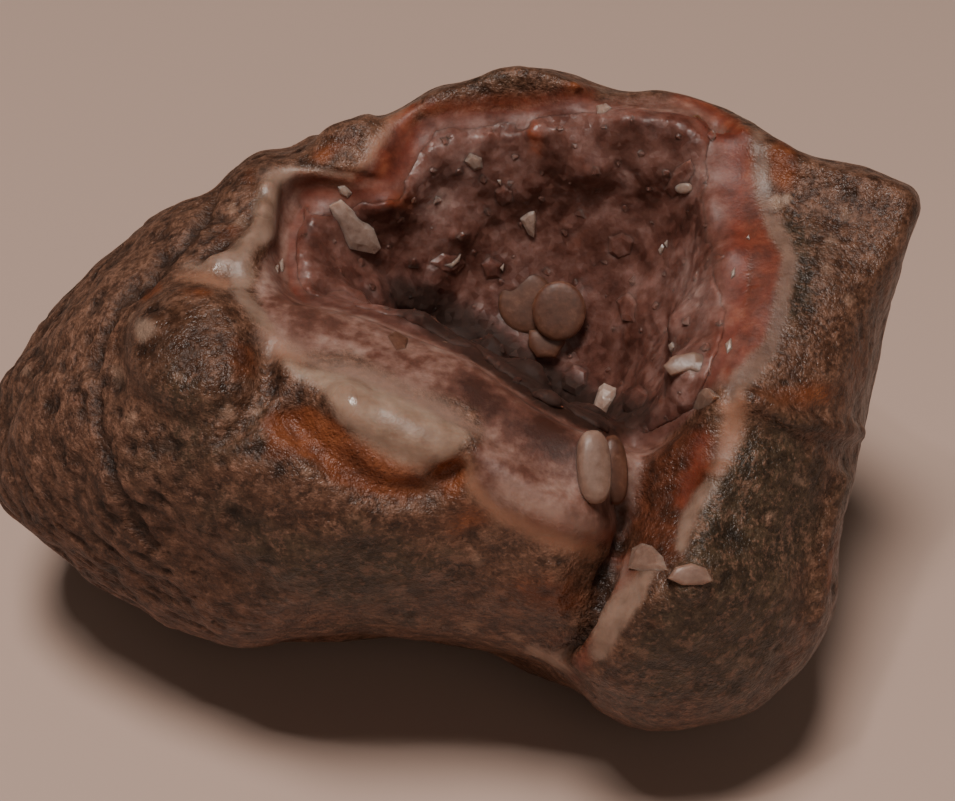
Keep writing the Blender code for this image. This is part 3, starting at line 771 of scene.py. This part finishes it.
def band_colours(n, colour):
    """Lays cream, valley agate, clear quartz, red agate and white chalcedony over the rock, the band down the
    right painted darker as shade.
    """
    cream = masked(n, "cream", 1.3, 6.0, 9.0)
    colour = n.paint(colour, cream, 0.8, (168, 122, 98))
    valley = masked(n, "valley", 1.6, 8.0, 12.0)
    valley_colour = n.ramp(n.noise(1.1, 5.0, 0.6), [(0.34, (54, 29, 19)), (0.52, (86, 46, 30)),
                                                    (0.68, (114, 64, 44))])
    colour = n.paint(colour, valley, 0.9, valley_colour)
    quartz = masked(n, "lip_quartz", 0.9, 6.0, 7.0)
    cloud = n.plus(n.times(n.noise(2.4, 4.0, 0.6), 0.65), n.times(n.noise(0.7, 4.0, 0.65), 0.35))
    cloud = n.minus(cloud, n.times(n.attribute("lip_dark"), 0.22))
    quartz_colour = n.ramp(cloud, [(0.26, (70, 38, 28)), (0.42, (108, 70, 58)), (0.52, (138, 102, 90)),
                                   (0.66, (168, 138, 126))])
    colour = n.mix(quartz, colour, quartz_colour)
    red = masked(n, "red", 1.1, 6.0, 10.0)
    red_colour = n.ramp(n.noise(1.4, 4.0, 0.6), [(0.34, (92, 36, 20)), (0.54, (124, 54, 31)),
                                                 (0.7, (150, 80, 52))])
    colour = n.paint(colour, red, 0.85, red_colour)
    haze = masked(n, "haze", 1.6, 8.0, 14.0)
    colour = n.paint(colour, haze, 0.7, (164, 134, 120))
    cloudy = n.noise(1.6, 4.0, 0.55)
    band = masked(n, "band", 1.2, 4.0, 5.5)
    band_colour = n.ramp(cloudy, [(0.34, (126, 100, 84)), (0.66, (164, 136, 120))])
    colour = n.paint(colour, band, 0.9, band_colour)
    # the band down the right: the same white, painted darker as shade
    band_shaded = masked(n, "band_in_painted_shade", 1.2, 4.0, 5.5)
    band_shade_colour = n.ramp(cloudy, [(0.34, (106, 80, 68)), (0.66, (146, 116, 100))])
    colour = n.paint(colour, band_shaded, 0.9, band_shade_colour)
    band = n.larger(band, band_shaded)
    bulge = masked(n, "bulge", 1.2, 4.0, 7.0)
    bulge_colour = n.ramp(cloudy, [(0.34, (142, 114, 96)), (0.66, (176, 150, 132))])
    colour = n.paint(colour, bulge, 0.95, bulge_colour)
    white = n.larger(band, bulge)
    clear = n.larger(n.larger(white, quartz), n.larger(red, cream))
    clear = n.larger(clear, haze)
    return colour, clear, white


def stone_material():
    """One skin for the worn rock, its polished bands and the crust's smooth rim."""
    n = Nodes("agate_skin")
    colour, clear, white = band_colours(n, rock_colour(n))
    crust = n.attribute("crust")
    colour = n.mix(crust, colour, quartz_colour(n))
    clear = n.larger(clear, crust)
    n.link(colour, n.shader.inputs["Base Color"])
    worn = n.times(n.attribute("worn"), 0.25)
    rough = n.step(n.plus(n.noise(1.0, 4.0, 0.6), worn), 0.35, 0.75, 0.30, 0.58)
    rough = n.mix_value(white, n.mix_value(clear, rough, 0.5), 0.42)
    n.link(n.mix_value(n.attribute("gloss"), rough, 0.14), n.shader.inputs["Roughness"])
    n.translucent(n.times(clear, 0.8), (1.0, 0.5, 0.35), 0.9)
    n.shader.inputs["Specular IOR Level"].default_value = DULL_SHINE
    grain = n.plus(n.noise(0.3, 4.0, 0.65), streaks(n, 0.5))
    grain = n.plus(grain, n.times(n.noise(1.3, 5.0, 0.65), 1.6))
    smooth = n.larger(clear, n.times(n.attribute("gloss"), 0.8))
    strength = n.minus(0.75, n.times(smooth, 0.64))
    n.link(n.bump(grain, 0.22, strength), n.shader.inputs["Normal"])
    return n.material


# the quartz crust

# The hollow's opening, and where its crust is red, dark, pale and orange; the dark is partly dark quartz and
# partly painted shade behind the lip
OPENING = [
    (740, 126), (706, 90), (658, 78), (612, 84), (562, 98), (500, 104), (436, 108), (404, 126), (388, 170),
    (340, 180), (288, 172), (272, 206), (266, 258), (280, 300), (320, 308), (368, 318), (420, 340),
    (466, 358), (508, 388), (552, 420), (598, 436), (620, 450), (646, 456), (676, 444), (704, 412),
    (724, 372), (746, 318), (750, 258), (746, 206), (744, 158),
]
CRUST_RED = [
    [(412, 110, 16), (404, 130, 20), (396, 156, 18), (386, 180, 12)],
    [(380, 190, 10), (340, 184, 8), (300, 186, 12), (284, 210, 10), (276, 260, 10), (286, 300, 10)],
    [(436, 106, 12), (520, 104, 6), (600, 94, 6), (660, 92, 10), (706, 104, 18), (730, 128, 22)],
    [(742, 150, 22), (744, 200, 20), (750, 250, 24), (752, 300, 22), (740, 340, 20), (718, 384, 8)],
]
# dark quartz and painted shade, deep in the hollow behind the lip
CRUST_DARK_AND_SHADE = [
    (430, 305, 60, 24, -25, 1.0), (540, 390, 60, 26, -35, 1.4), (600, 415, 50, 24, -20, 1.2),
    (480, 345, 90, 24, -30, 1.2), (400, 215, 16, 14, 0, 0.4), (640, 410, 30, 20, 0, 0.8),
    (560, 250, 50, 20, 0, 0.3),
]
CRUST_PALE = [
    (470, 150, 40, 22, 0, 0.6), (690, 180, 34, 22, 0, 0.8), (702, 300, 26, 34, 20, 1.5),
    (690, 368, 30, 10, 10, 1.0), (702, 404, 16, 10, 20, 0.8),
    (450, 190, 70, 40, 0, 0.45), (560, 190, 60, 50, 0, 0.45), (610, 112, 26, 8, 0, 0.7),
    (452, 205, 50, 14, 0, 0.5), (480, 122, 30, 8, 0, 0.7), (430, 188, 40, 12, 0, 0.5),
]
CRUST_ORANGE = [
    (535, 140, 10, 26, 10, 1.0), (400, 200, 24, 14, 0, 0.9), (660, 400, 30, 20, 0, 0.4),
    (480, 108, 80, 6, 0, 0.6), (590, 240, 60, 24, 0, 0.4), (290, 300, 24, 40, 0, 0.6),
    (620, 330, 60, 40, 0, 0.35), (480, 250, 60, 30, 0, 0.3),
]
# Where crystals show; nearer the rim the crust was worn smooth over this many pixels
CRYSTAL_REGION = [
    (716, 120), (690, 100), (640, 94), (590, 100), (540, 110), (480, 118), (430, 122), (408, 150),
    (392, 192), (350, 202), (300, 202), (284, 232), (282, 290), (320, 304), (368, 314), (420, 336),
    (466, 354), (508, 384), (552, 416), (598, 432), (640, 440), (690, 430), (712, 402), (722, 372),
    (730, 330), (726, 280), (718, 240), (714, 200), (720, 150),
]
# The round crystals at the hollow's back, which small crystals keep off
DISCS = [[(527, 303, 29)], [(559, 312, 28)]]
RIM_SMOOTH_REACH = (-12.0, 26.0)
# How far the crust's rim is worn back from the eye, in millimetres
RIM_PRESS = 0.9
# How many rounds of smoothing wear the rim of the opening
RIM_WEAR = 20
# Crystals fused into the crust, and the small ones on it: spacing, radius and height in millimetres, the seed
# of their places, and how far they lean
LUMPS = [(1.6, (0.8, 1.35), (0.0, 0.1), 3, 0.12), (0.9, (0.4, 0.8), (0.0, 0.1), 4, 0.12)]
SMALL_CRYSTALS = (1.7, (0.3, 0.6), (0.0, 0.06), 8, 0.25)
# How many rounds of smoothing wear the lumps' edges
CRYSTAL_WEAR = 4
# How far the stone's own mesh lies under the crust there, and the crust's worn rim under the stone's skin,
# and how high the crust ripples, in millimetres
CRUST_SINK = 0.45
RIM_SINK = 0.585
CRUST_RIPPLE = 0.06
# Where the crust's rim is sunk, as shares of the crystal zone, and how far small crystals keep off the round
# ones at the back, in pixels
SUNK_ZONE = (0.7, 0.1)
DISC_MARGIN = (2.0, -8.0)


def crystal_zone(points, places):
    """From 0 at the hollow's worn rim to 1 where crystals show."""
    ragged = noise_at(places, 2.0, 4.4, 2) * 10.0
    return smooth_step(*RIM_SMOOTH_REACH, region_field(points, CRYSTAL_REGION) + ragged)


def zone_of(obj):
    places, _ = mesh_arrays(obj.data)
    return crystal_zone(pixels_of(places), places)


def shape_crust(obj):
    """Grows soft crystals on the crust and sinks its worn rim; gives where small crystals go, from 0 to 1."""
    zone = zone_of(obj)
    meshes = [obj.data]
    for sizes in LUMPS:
        lumps = crystal_coat(obj, zone, "lumps", *sizes)
        meshes.append(lumps.data)
        bpy.data.objects.remove(lumps)
    obj.data = joined("crust", meshes)
    remesh(obj, CRUST_VOXEL)
    keep_largest(obj.data)
    places, edges = mesh_arrays(obj.data)
    places = relaxed(places, edges, CRYSTAL_WEAR)
    zone = crystal_zone(pixels_of(places), places)
    places += (relaxed(places, edges, RIM_WEAR) - places) * (1.0 - zone)[:, None]
    set_places(obj.data, places)
    height = CRUST_RIPPLE * noise_at(places, 1.1, 5.0, 2) * zone - RIM_SINK * smooth_step(*SUNK_ZONE, zone)
    set_places(obj.data, places + vertex_normals(obj.data) * height[:, None] * MM)
    store_crust_colours(obj.data)
    return zone_of(obj) * smooth_step(*DISC_MARGIN, field(pixels_of(mesh_arrays(obj.data)[0]), DISCS))


def store_crust_colours(mesh):
    """Stores where the crust's quartz is red, dark with painted shade, pale and orange."""
    places, _ = mesh_arrays(mesh)
    points = pixels_of(places)
    set_attribute(mesh, "crust_red", field(points, CRUST_RED))
    set_attribute(mesh, "crust_dark_and_shade", blobs(points, CRUST_DARK_AND_SHADE))
    set_attribute(mesh, "crust_pale", blobs(points, CRUST_PALE))
    set_attribute(mesh, "crust_orange", blobs(points, CRUST_ORANGE))


def quartz_colour(n):
    """Mauve-brown quartz, redder beside the band, and darker deep down: partly dark quartz and partly painted
    shade.
    """
    both = n.plus(n.times(n.noise(2.6, 5.0, 0.6), 0.65), n.times(n.noise(0.8, 4.0, 0.6), 0.35))
    pale = n.times(n.attribute("crust_pale"), 0.13)
    dark = n.times(n.attribute("crust_dark_and_shade"), -0.10)
    value = n.plus(both, n.plus(pale, dark))
    colour = n.ramp(value, [(0.30, (64, 35, 28)), (0.42, (94, 57, 47)), (0.54, (120, 81, 71)),
                            (0.66, (146, 110, 101)), (0.82, (190, 160, 150))])
    patch = n.times(n.minus(n.noise(1.4, 5.0), 0.5), 1.2)
    orange = n.step(n.plus(n.attribute("crust_orange"), patch), 0.35, 0.95)
    colour = n.paint(colour, orange, 0.55, (146, 72, 38))
    red = masked(n, "crust_red", 1.2, 14.0, 18.0)
    red_colour = n.ramp(n.noise(1.3, 5.0, 0.65), [(0.34, (98, 36, 20)), (0.52, (128, 54, 32)),
                                                  (0.68, (146, 76, 50))])
    colour = n.paint(colour, red, 0.8, red_colour)
    # partly painted shade: deep in the hollow behind the lip the quartz goes nearly black
    deep = n.step(n.plus(n.attribute("crust_dark_and_shade"), patch), 0.3, 1.3)
    return n.paint(colour, deep, 0.72, (46, 28, 20))


def quartz_material(name):
    """The same quartz for the crust and its crystals: translucent, with soft gloss."""
    n = Nodes(name)
    n.link(quartz_colour(n), n.shader.inputs["Base Color"])
    rough = n.step(n.noise(0.5, 3.0, 0.6), 0.35, 0.7, 0.34, 0.55)
    deep = n.step(n.attribute("crust_dark_and_shade"), 0.2, 0.9)
    n.link(n.mix_value(deep, rough, 0.75), n.shader.inputs["Roughness"])
    n.shader.inputs["Specular IOR Level"].default_value = DULL_SHINE
    n.translucent(1.0, (1.0, 0.6, 0.48), 1.2)
    tilted = n.facets(0.5, 0.3, n.facets(1.6, 0.24))
    n.link(n.bump(n.noise(0.4, 4.0, 0.65), 0.06, 0.6, tilted), n.shader.inputs["Normal"])
    return n.material


# A crystal's width at its shoulder, for its foot's
CRYSTAL_TAPER = 0.9
# How high a crystal's pointed end is, for its radius
CRYSTAL_POINT = 0.5
# How deep a crystal's foot is sunk, for its radius
CRYSTAL_SINK = 0.36


def crystal_template():
    """A six-sided crystal of unit radius and height, whose last place is its point."""
    ring = [(math.cos(math.pi * k / 3), math.sin(math.pi * k / 3)) for k in range(6)]
    places = [(x, y, 0.0) for x, y in ring]
    places += [(x * CRYSTAL_TAPER, y * CRYSTAL_TAPER, 1.0) for x, y in ring] + [(0.0, 0.0, 1.0)]
    faces = [(k, (k + 1) % 6, 6 + (k + 1) % 6, 6 + k) for k in range(6)]
    faces += [(6 + k, 6 + (k + 1) % 6, 12) for k in range(6)]
    faces.append((5, 4, 3, 2, 1, 0))
    return np.array(places), faces


def frames_along(directions, turns):
    """For each direction a 3x3 matrix whose columns are two sides, turned about it, and the direction."""
    helper = np.where(np.abs(directions[:, 2:3]) < 0.9, [[0.0, 0.0, 1.0]], [[1.0, 0.0, 0.0]])
    side = np.cross(helper, directions)
    side /= np.linalg.norm(side, axis=1)[:, None]
    other = np.cross(directions, side)
    cos, sin = np.cos(turns)[:, None], np.sin(turns)[:, None]
    return np.stack([side * cos + other * sin, other * cos - side * sin, directions], axis=2)


def crystals_mesh(name, roots, directions, radii, heights, turns, squash):
    """One mesh of many crystals, each with its own root, direction and size in millimetres."""
    template, faces = crystal_template()
    turned = frames_along(directions, turns)
    local = template[None] * np.stack([radii * squash, radii, heights], axis=1)[:, None] * MM
    local[:, -1, 2] = (heights + radii * CRYSTAL_POINT) * MM
    places = np.einsum("nij,nkj->nki", turned, local) + roots[:, None]
    starts = range(0, len(template) * len(roots), len(template))
    all_faces = [tuple(corner + start for corner in face) for start in starts for face in faces]
    return new_object(name, new_mesh(name, places.reshape(-1, 3).tolist(), all_faces))


def scattered(mesh, spacing, seed, shares):
    """Spaced-out places on the mesh, their normals and their shares, which are given for its vertices."""
    mesh.calc_loop_triangles()
    count = len(mesh.loop_triangles)
    corners = np.empty(count * 3, int)
    mesh.loop_triangles.foreach_get("vertices", corners)
    corners = corners.reshape(-1, 3)
    places, _ = mesh_arrays(mesh)
    a, b, c = (places[corners[:, k]] for k in range(3))
    cross = np.cross(b - a, c - a)
    area = np.linalg.norm(cross, axis=1) / 2
    share = shares[corners].mean(axis=1)
    area = np.where(share > 0.1, area, 0.0)
    chooser = np.random.default_rng(seed)
    picked = chooser.choice(count, size=int(area.sum() / MM**2 / spacing**2 * 4), p=area / area.sum())
    u, v = chooser.random((2, len(picked)))
    flip = u + v > 1
    u[flip], v[flip] = 1 - u[flip], 1 - v[flip]
    spots = a[picked] + (b - a)[picked] * u[:, None] + (c - a)[picked] * v[:, None]
    normals = cross[picked] / np.linalg.norm(cross[picked], axis=1)[:, None]
    taken, chosen = {}, []
    around = list(product((-1, 0, 1), repeat=3))
    for index, spot in enumerate(spots / MM):
        cell = tuple((spot // spacing).astype(int))
        near = [taken.get((cell[0] + i, cell[1] + j, cell[2] + k)) for i, j, k in around]
        if all(other is None or np.linalg.norm(other - spot) > spacing for other in near):
            taken[cell] = spot
            chosen.append(index)
    return spots[chosen], normals[chosen], share[picked][chosen]


def crystal_coat(body, shares, name, spacing, radius, height, seed, lean):
    """Crystals all over the crust, smaller towards its worn rim."""
    roots, normals, share = scattered(body.data, spacing, seed, shares)
    chooser = np.random.default_rng(seed + 1)
    directions = normals + chooser.normal(0.0, lean, normals.shape)
    directions /= np.linalg.norm(directions, axis=1)[:, None]
    count = len(roots)
    radii = chooser.uniform(*radius, count) * (0.4 + 0.6 * share)
    heights = chooser.uniform(*height, count) * (0.2 + 0.8 * share)
    turns, squash = chooser.uniform(0, 6.28, count), chooser.uniform(0.75, 1.2, count)
    feet = roots - directions * radii[:, None] * CRYSTAL_SINK * MM
    obj = crystals_mesh(name, feet, directions, radii, heights, turns, squash)
    store_crust_colours(obj.data)
    return obj


# single crystals that stand out

def oval(x, y, half_width, half_height, turn=0.0, squareness=2.0, count=28):
    """An oval outline in pixels; a higher squareness makes it more like a box."""
    outline = []
    for k in range(count):
        angle = math.tau * k / count
        dx = math.copysign(abs(math.cos(angle)) ** (2.0 / squareness), math.cos(angle)) * half_width
        dy = math.copysign(abs(math.sin(angle)) ** (2.0 / squareness), math.sin(angle)) * half_height
        sin, cos = math.sin(math.radians(turn)), math.cos(math.radians(turn))
        outline.append((x + dx * cos + dy * sin, y - dy * cos + dx * sin))
    return outline


# Each crystal: its outline in pixels, how far its rim and its crown stand out in millimetres, how much of the
# way it leans from the camera to the surface's own direction, and "round" where it is worn and has no facets
WHITE_GEMS_AND_GLINTS = [
    ([(329, 206), (341, 200), (358, 215), (374, 229), (381, 248), (375, 254), (350, 249), (343, 236),
     (334, 218)], 0.1, 0.2, 0.6),
    ([(337, 186), (345, 183), (352, 193), (348, 198), (340, 194)], 0.05, 0.15, 0.6),
    ([(594, 415), (592, 409), (599, 387), (604, 383), (616, 388), (615, 402), (604, 415)], 0.4, 0.3, 0.4),
    ([(520, 219), (528, 211), (535, 208), (536, 222), (534, 238), (528, 234)], 0.2, 0.2, 0.5),
    # a painted highlight: a white oval on the bright spot of a pale facet
    (oval(684, 188, 9, 6, 0), 0.05, 0.25, 0.8, "round"),
    ([(462, 160), (470, 153), (482, 158), (483, 168), (474, 171)], 0.05, 0.2, 0.8),
    ([(596, 106), (606, 103), (612, 108), (604, 114), (597, 113)], 0.05, 0.2, 0.8),
    # painted highlights, from here to the list's end: tiny white slivers where glints fall on crystal edges
    ([(280, 262), (283, 258), (284, 270), (281, 275)], 0.1, 0.1, 0.7),
    ([(275, 268), (278, 264), (278, 274)], 0.1, 0.1, 0.7),
    ([(658, 250), (662, 244), (664, 247), (660, 255)], 0.1, 0.1, 0.7),
    ([(664, 243), (667, 240), (667, 248)], 0.1, 0.1, 0.7),
    ([(731, 272), (735, 267), (735, 275), (731, 279)], 0.1, 0.1, 0.7),
    ([(746, 238), (749, 234), (750, 240)], 0.1, 0.1, 0.7),
    ([(440, 266), (450, 264), (458, 258), (461, 254), (459, 262), (452, 268)], 0.3, 0.1, 0.7),
    ([(500, 268), (504, 264), (503, 272)], 0.3, 0.1, 0.7),
    ([(668, 345), (673, 341), (676, 347), (671, 353)], 0.1, 0.15, 0.7),
    ([(725, 344), (731, 338), (732, 348), (727, 354)], 0.1, 0.1, 0.7),
    ([(497, 180), (501, 180), (501, 186)], 0.1, 0.1, 0.7),
]
PALE_GEMS = [
    (oval(594, 467, 17, 37, -3, 2.6), 0.7, 0.6, 0.3, "round"),
    ([(663, 366), (673, 356), (694, 352), (712, 358), (724, 354), (720, 366), (706, 376), (690, 370),
     (670, 375)], -0.05, 0.15, 1.0, "round"),
    ([(687, 404), (692, 392), (706, 388), (714, 396), (706, 412), (694, 418)], -0.05, 0.2, 1.0),
    ([(668, 578), (676, 567), (691, 563), (706, 568), (713, 581), (702, 585), (682, 585)],
     0.1, 0.25, 1.0, "round"),
    ([(628, 568), (632, 548), (642, 543), (652, 546), (663, 557), (667, 570), (648, 573)], 0.0, 0.25, 0.9),
]
BROWN_GEMS = [
    (oval(527, 303, 29, 31, 0), 0.1, 0.3, 0.2, "round"),
    (oval(559, 311, 27, 30, 0), 1.3, 0.3, 0.2, "round"),
    ([(529, 330), (556, 328), (566, 342), (556, 358), (536, 358), (528, 346)], 0.3, 0.4, 0.4, "round"),
    (oval(614, 470, 13, 35, -4, 2.4), 0.3, 0.6, 0.3, "round"),
    ([(388, 336), (396, 331), (408, 338), (407, 350), (396, 352)], 0.0, 0.15, 0.9),
]
WALL_GEMS = [
    ([(664, 190), (672, 170), (690, 160), (696, 172), (688, 196), (672, 200)], -0.1, 0.25, 0.9),
    ([(430, 262), (442, 252), (460, 252), (466, 264), (456, 274), (438, 274)], 0.0, 0.25, 0.8),
    ([(478, 262), (490, 256), (502, 264), (500, 278), (486, 280)], 0.0, 0.25, 0.8),
    ([(494, 190), (504, 182), (515, 188), (514, 202), (502, 208), (494, 202)], -0.05, 0.25, 0.9),
    ([(608, 236), (622, 230), (636, 240), (634, 256), (618, 262), (608, 252)], -0.05, 0.25, 0.9),
    ([(560, 372), (574, 362), (590, 370), (590, 388), (576, 396), (562, 388)], 0.0, 0.3, 0.8),
    ([(622, 392), (640, 384), (654, 394), (650, 412), (632, 418), (622, 408)], 0.0, 0.3, 0.8),
    ([(616, 300), (628, 292), (640, 304), (634, 322), (622, 320)], 0.0, 0.25, 0.8),
]
# The rings of a crystal, as shares of its outline's size and of its crown's height
ROUND_RINGS = [(0.97, 0.35), (0.86, 0.7), (0.66, 0.9), (0.36, 0.98)]
FACET_RINGS = [(0.62, 0.8)]
# How deep a crystal's foot goes, in millimetres, and its size for the outline's
GEM_DEPTH, GEM_FOOT = 1.6, 0.8


def unit(vector):
    return vector / np.linalg.norm(vector)


def gem(surfaces, outline, rim, crown, lean, kind="facets"):
    """One crystal whose outline is seen at these pixels, out from the surface behind: places and faces."""
    ray = unit(face_place(*np.mean(outline, axis=0)) - EYE)
    hits = [tree.ray_cast(Vector(EYE), Vector(ray)) for tree in surfaces]
    place, normal = min((hit for hit in hits if hit[0]), key=lambda hit: hit[3])[:2]
    facing = unit(unit(np.array(normal)) * lean - ray * (1.0 - lean))
    middle = np.array(place) + facing * rim * MM
    edge = []
    for x, y in outline:
        way = unit(face_place(x, y) - EYE)
        edge.append(EYE + way * (middle - EYE).dot(facing) / way.dot(facing))
    edge = np.array(edge)
    middle = edge.mean(axis=0)
    rings = [edge * GEM_FOOT + middle * (1.0 - GEM_FOOT) - facing * GEM_DEPTH * MM, edge]
    for size, high in (ROUND_RINGS if kind == "round" else FACET_RINGS):
        rings.append(middle + (edge - middle) * size + facing * high * crown * MM)
    places = [place for ring in rings for place in ring] + [middle + facing * crown * MM]
    count = len(edge)
    faces = []
    for ring in range(len(rings) - 1):
        for k in range(count):
            low, after = ring * count + k, ring * count + (k + 1) % count
            faces.append((low, after, after + count, low + count))
    last = (len(rings) - 1) * count
    faces += [(last + k, last + (k + 1) % count, len(places) - 1) for k in range(count)]
    faces.append(tuple(range(count))[::-1])
    return places, faces


def gems(name, pieces, items):
    """One mesh of the listed crystals on these pieces."""
    surfaces = [tree_of(piece.data) for piece in pieces]
    places, faces, smooth = [], [], []
    for item in items:
        new_places, new_faces = gem(surfaces, *item)
        faces += [tuple(corner + len(places) for corner in face) for face in new_faces]
        smooth += [item[-1] == "round"] * len(new_faces)
        places += [list(place) for place in new_places]
    mesh = new_mesh(name, places, faces)
    bm = bmesh.new()
    bm.from_mesh(mesh)
    bmesh.ops.recalc_face_normals(bm, faces=bm.faces)
    bm.to_mesh(mesh)
    bm.free()
    mesh.polygons.foreach_set("use_smooth", smooth)
    return new_object(name, mesh)


# Single crystals: their shade, the crystals, their dark, middle and light colour, and their roughness.
# Those on the hollow's wall have the crust's own quartz
SINGLE_CRYSTALS = [
    ("pale", PALE_GEMS, ((112, 84, 71), (140, 112, 98), (164, 140, 126)), (0.36, 0.55)),
    # the white crystals, with the white slivers that are painted highlights
    ("white", WHITE_GEMS_AND_GLINTS, ((128, 102, 90), (166, 142, 130), (196, 176, 165)), (0.24, 0.42)),
    ("wall", WALL_GEMS, None, None),
    ("brown", BROWN_GEMS, ((78, 47, 33), (104, 67, 49), (134, 94, 75)), (0.42, 0.6)),
]
# Where in the clouds of a crystal its three colours lie
CLOUD_STOPS = (0.3, 0.55, 0.75)


def gem_material(name, colours, rough):
    """Cloudy quartz between these colours, translucent and glossy."""
    n = Nodes(name)
    cloud = n.plus(n.times(n.noise(1.2, 4.0, 0.6), 0.6), n.times(n.noise(0.4, 3.0), 0.4))
    n.link(n.ramp(cloud, list(zip(CLOUD_STOPS, colours))), n.shader.inputs["Base Color"])
    n.link(n.step(n.noise(0.6, 3.0), 0.3, 0.7, *rough), n.shader.inputs["Roughness"])
    n.translucent(0.9, (1.0, 0.7, 0.55), 1.4)
    n.link(n.bump(n.noise(0.5, 4.0, 0.6), 0.06, 0.5), n.shader.inputs["Normal"])
    return n.material


# light, floor and camera

# Half the floor's side, in metres, and its screen colour
FLOOR_REACH = 1.5
FLOOR_COLOUR = (200, 173, 159)
# Each light: name, place, diameter in metres, power in watts and colour
LIGHTS = [
    ("overhead", (-0.05, -0.12, 0.58), 0.16, 2.8, (1.0, 0.92, 0.86)),
    ("lamp", (-0.10, -0.14, 0.46), 0.02, 0.2, (1.0, 0.95, 0.9)),
    ("fill", (0.10, -0.60, 0.45), 0.5, 0.45, (1.0, 0.88, 0.78)),
]
LIGHT_TARGET = (0.0, 0.0, 0.018)
STUDIO_COLOUR, STUDIO_STRENGTH = (1.0, 0.86, 0.74, 1.0), 0.045


def floor():
    corners = [(x * FLOOR_REACH, y * FLOOR_REACH, 0) for x, y in ((-1, -1), (1, -1), (1, 1), (-1, 1))]
    obj = new_object("floor", new_mesh("floor", corners, [(0, 1, 2, 3)]))
    n = Nodes("floor")
    n.shader.inputs["Base Color"].default_value = linear(FLOOR_COLOUR)
    n.shader.inputs["Roughness"].default_value = 0.6
    obj.data.materials.append(n.material)


def light():
    for name, place, size, power, colour in LIGHTS:
        data = bpy.data.lights.new(name, "AREA")
        data.energy = power
        data.color = colour
        data.shape = "DISK"
        data.size = size
        obj = new_object(name, data)
        obj.location = place
        obj.rotation_euler = (Vector(place) - Vector(LIGHT_TARGET)).to_track_quat("Z", "Y").to_euler()
    world = bpy.data.worlds.new("studio")
    world.use_nodes = True
    world.node_tree.nodes["Background"].inputs["Color"].default_value = STUDIO_COLOUR
    world.node_tree.nodes["Background"].inputs["Strength"].default_value = STUDIO_STRENGTH
    bpy.context.scene.world = world


def camera():
    """The photograph's camera, with the open face's middle at the centre pixel."""
    data = bpy.data.cameras.new("camera")
    data.sensor_width = 36.0
    data.lens = data.sensor_width / 2 / (IMAGE_WIDTH * PIXEL / 2 / EYE_DISTANCE)
    data.shift_x = (IMAGE_WIDTH / 2 - CENTRE_PIXEL[0]) / IMAGE_WIDTH
    data.shift_y = (CENTRE_PIXEL[1] - IMAGE_HEIGHT / 2) / IMAGE_WIDTH
    data.clip_start = 10.0 * MM
    obj = new_object("camera", data)
    obj.location = EYE
    obj.rotation_euler = Vector(EYE_WAY).to_track_quat("Z", "Y").to_euler()
    bpy.context.scene.camera = obj


def place_piece(obj, material, replaced=None):
    """Gives a piece its material and its body, and hides the part that it replaces."""
    obj.data.materials.append(material)
    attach(obj, "root")
    if replaced:
        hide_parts(replaced)


def main():
    camera()
    light()
    floor()

    crust = grown_crust("crust")
    stone = fused_stone("stone", crust)
    shape_stone(stone, crust)
    zone = shape_crust(crust)
    quartz = quartz_material("quartz")
    small = crystal_coat(crust, zone, "small_crystals", *SMALL_CRYSTALS)
    place_piece(stone, stone_material(), "agate_nodule")
    place_piece(crust, quartz, "quartz_crust")
    place_piece(small, quartz)
    for shade, crystals, colours, rough in SINGLE_CRYSTALS:
        single = gems(shade + "_crystals", (stone, crust), crystals)
        if colours:
            material = gem_material(shade + "_quartz", colours, rough)
        else:
            material = quartz
            store_crust_colours(single.data)
        place_piece(single, material)


main()
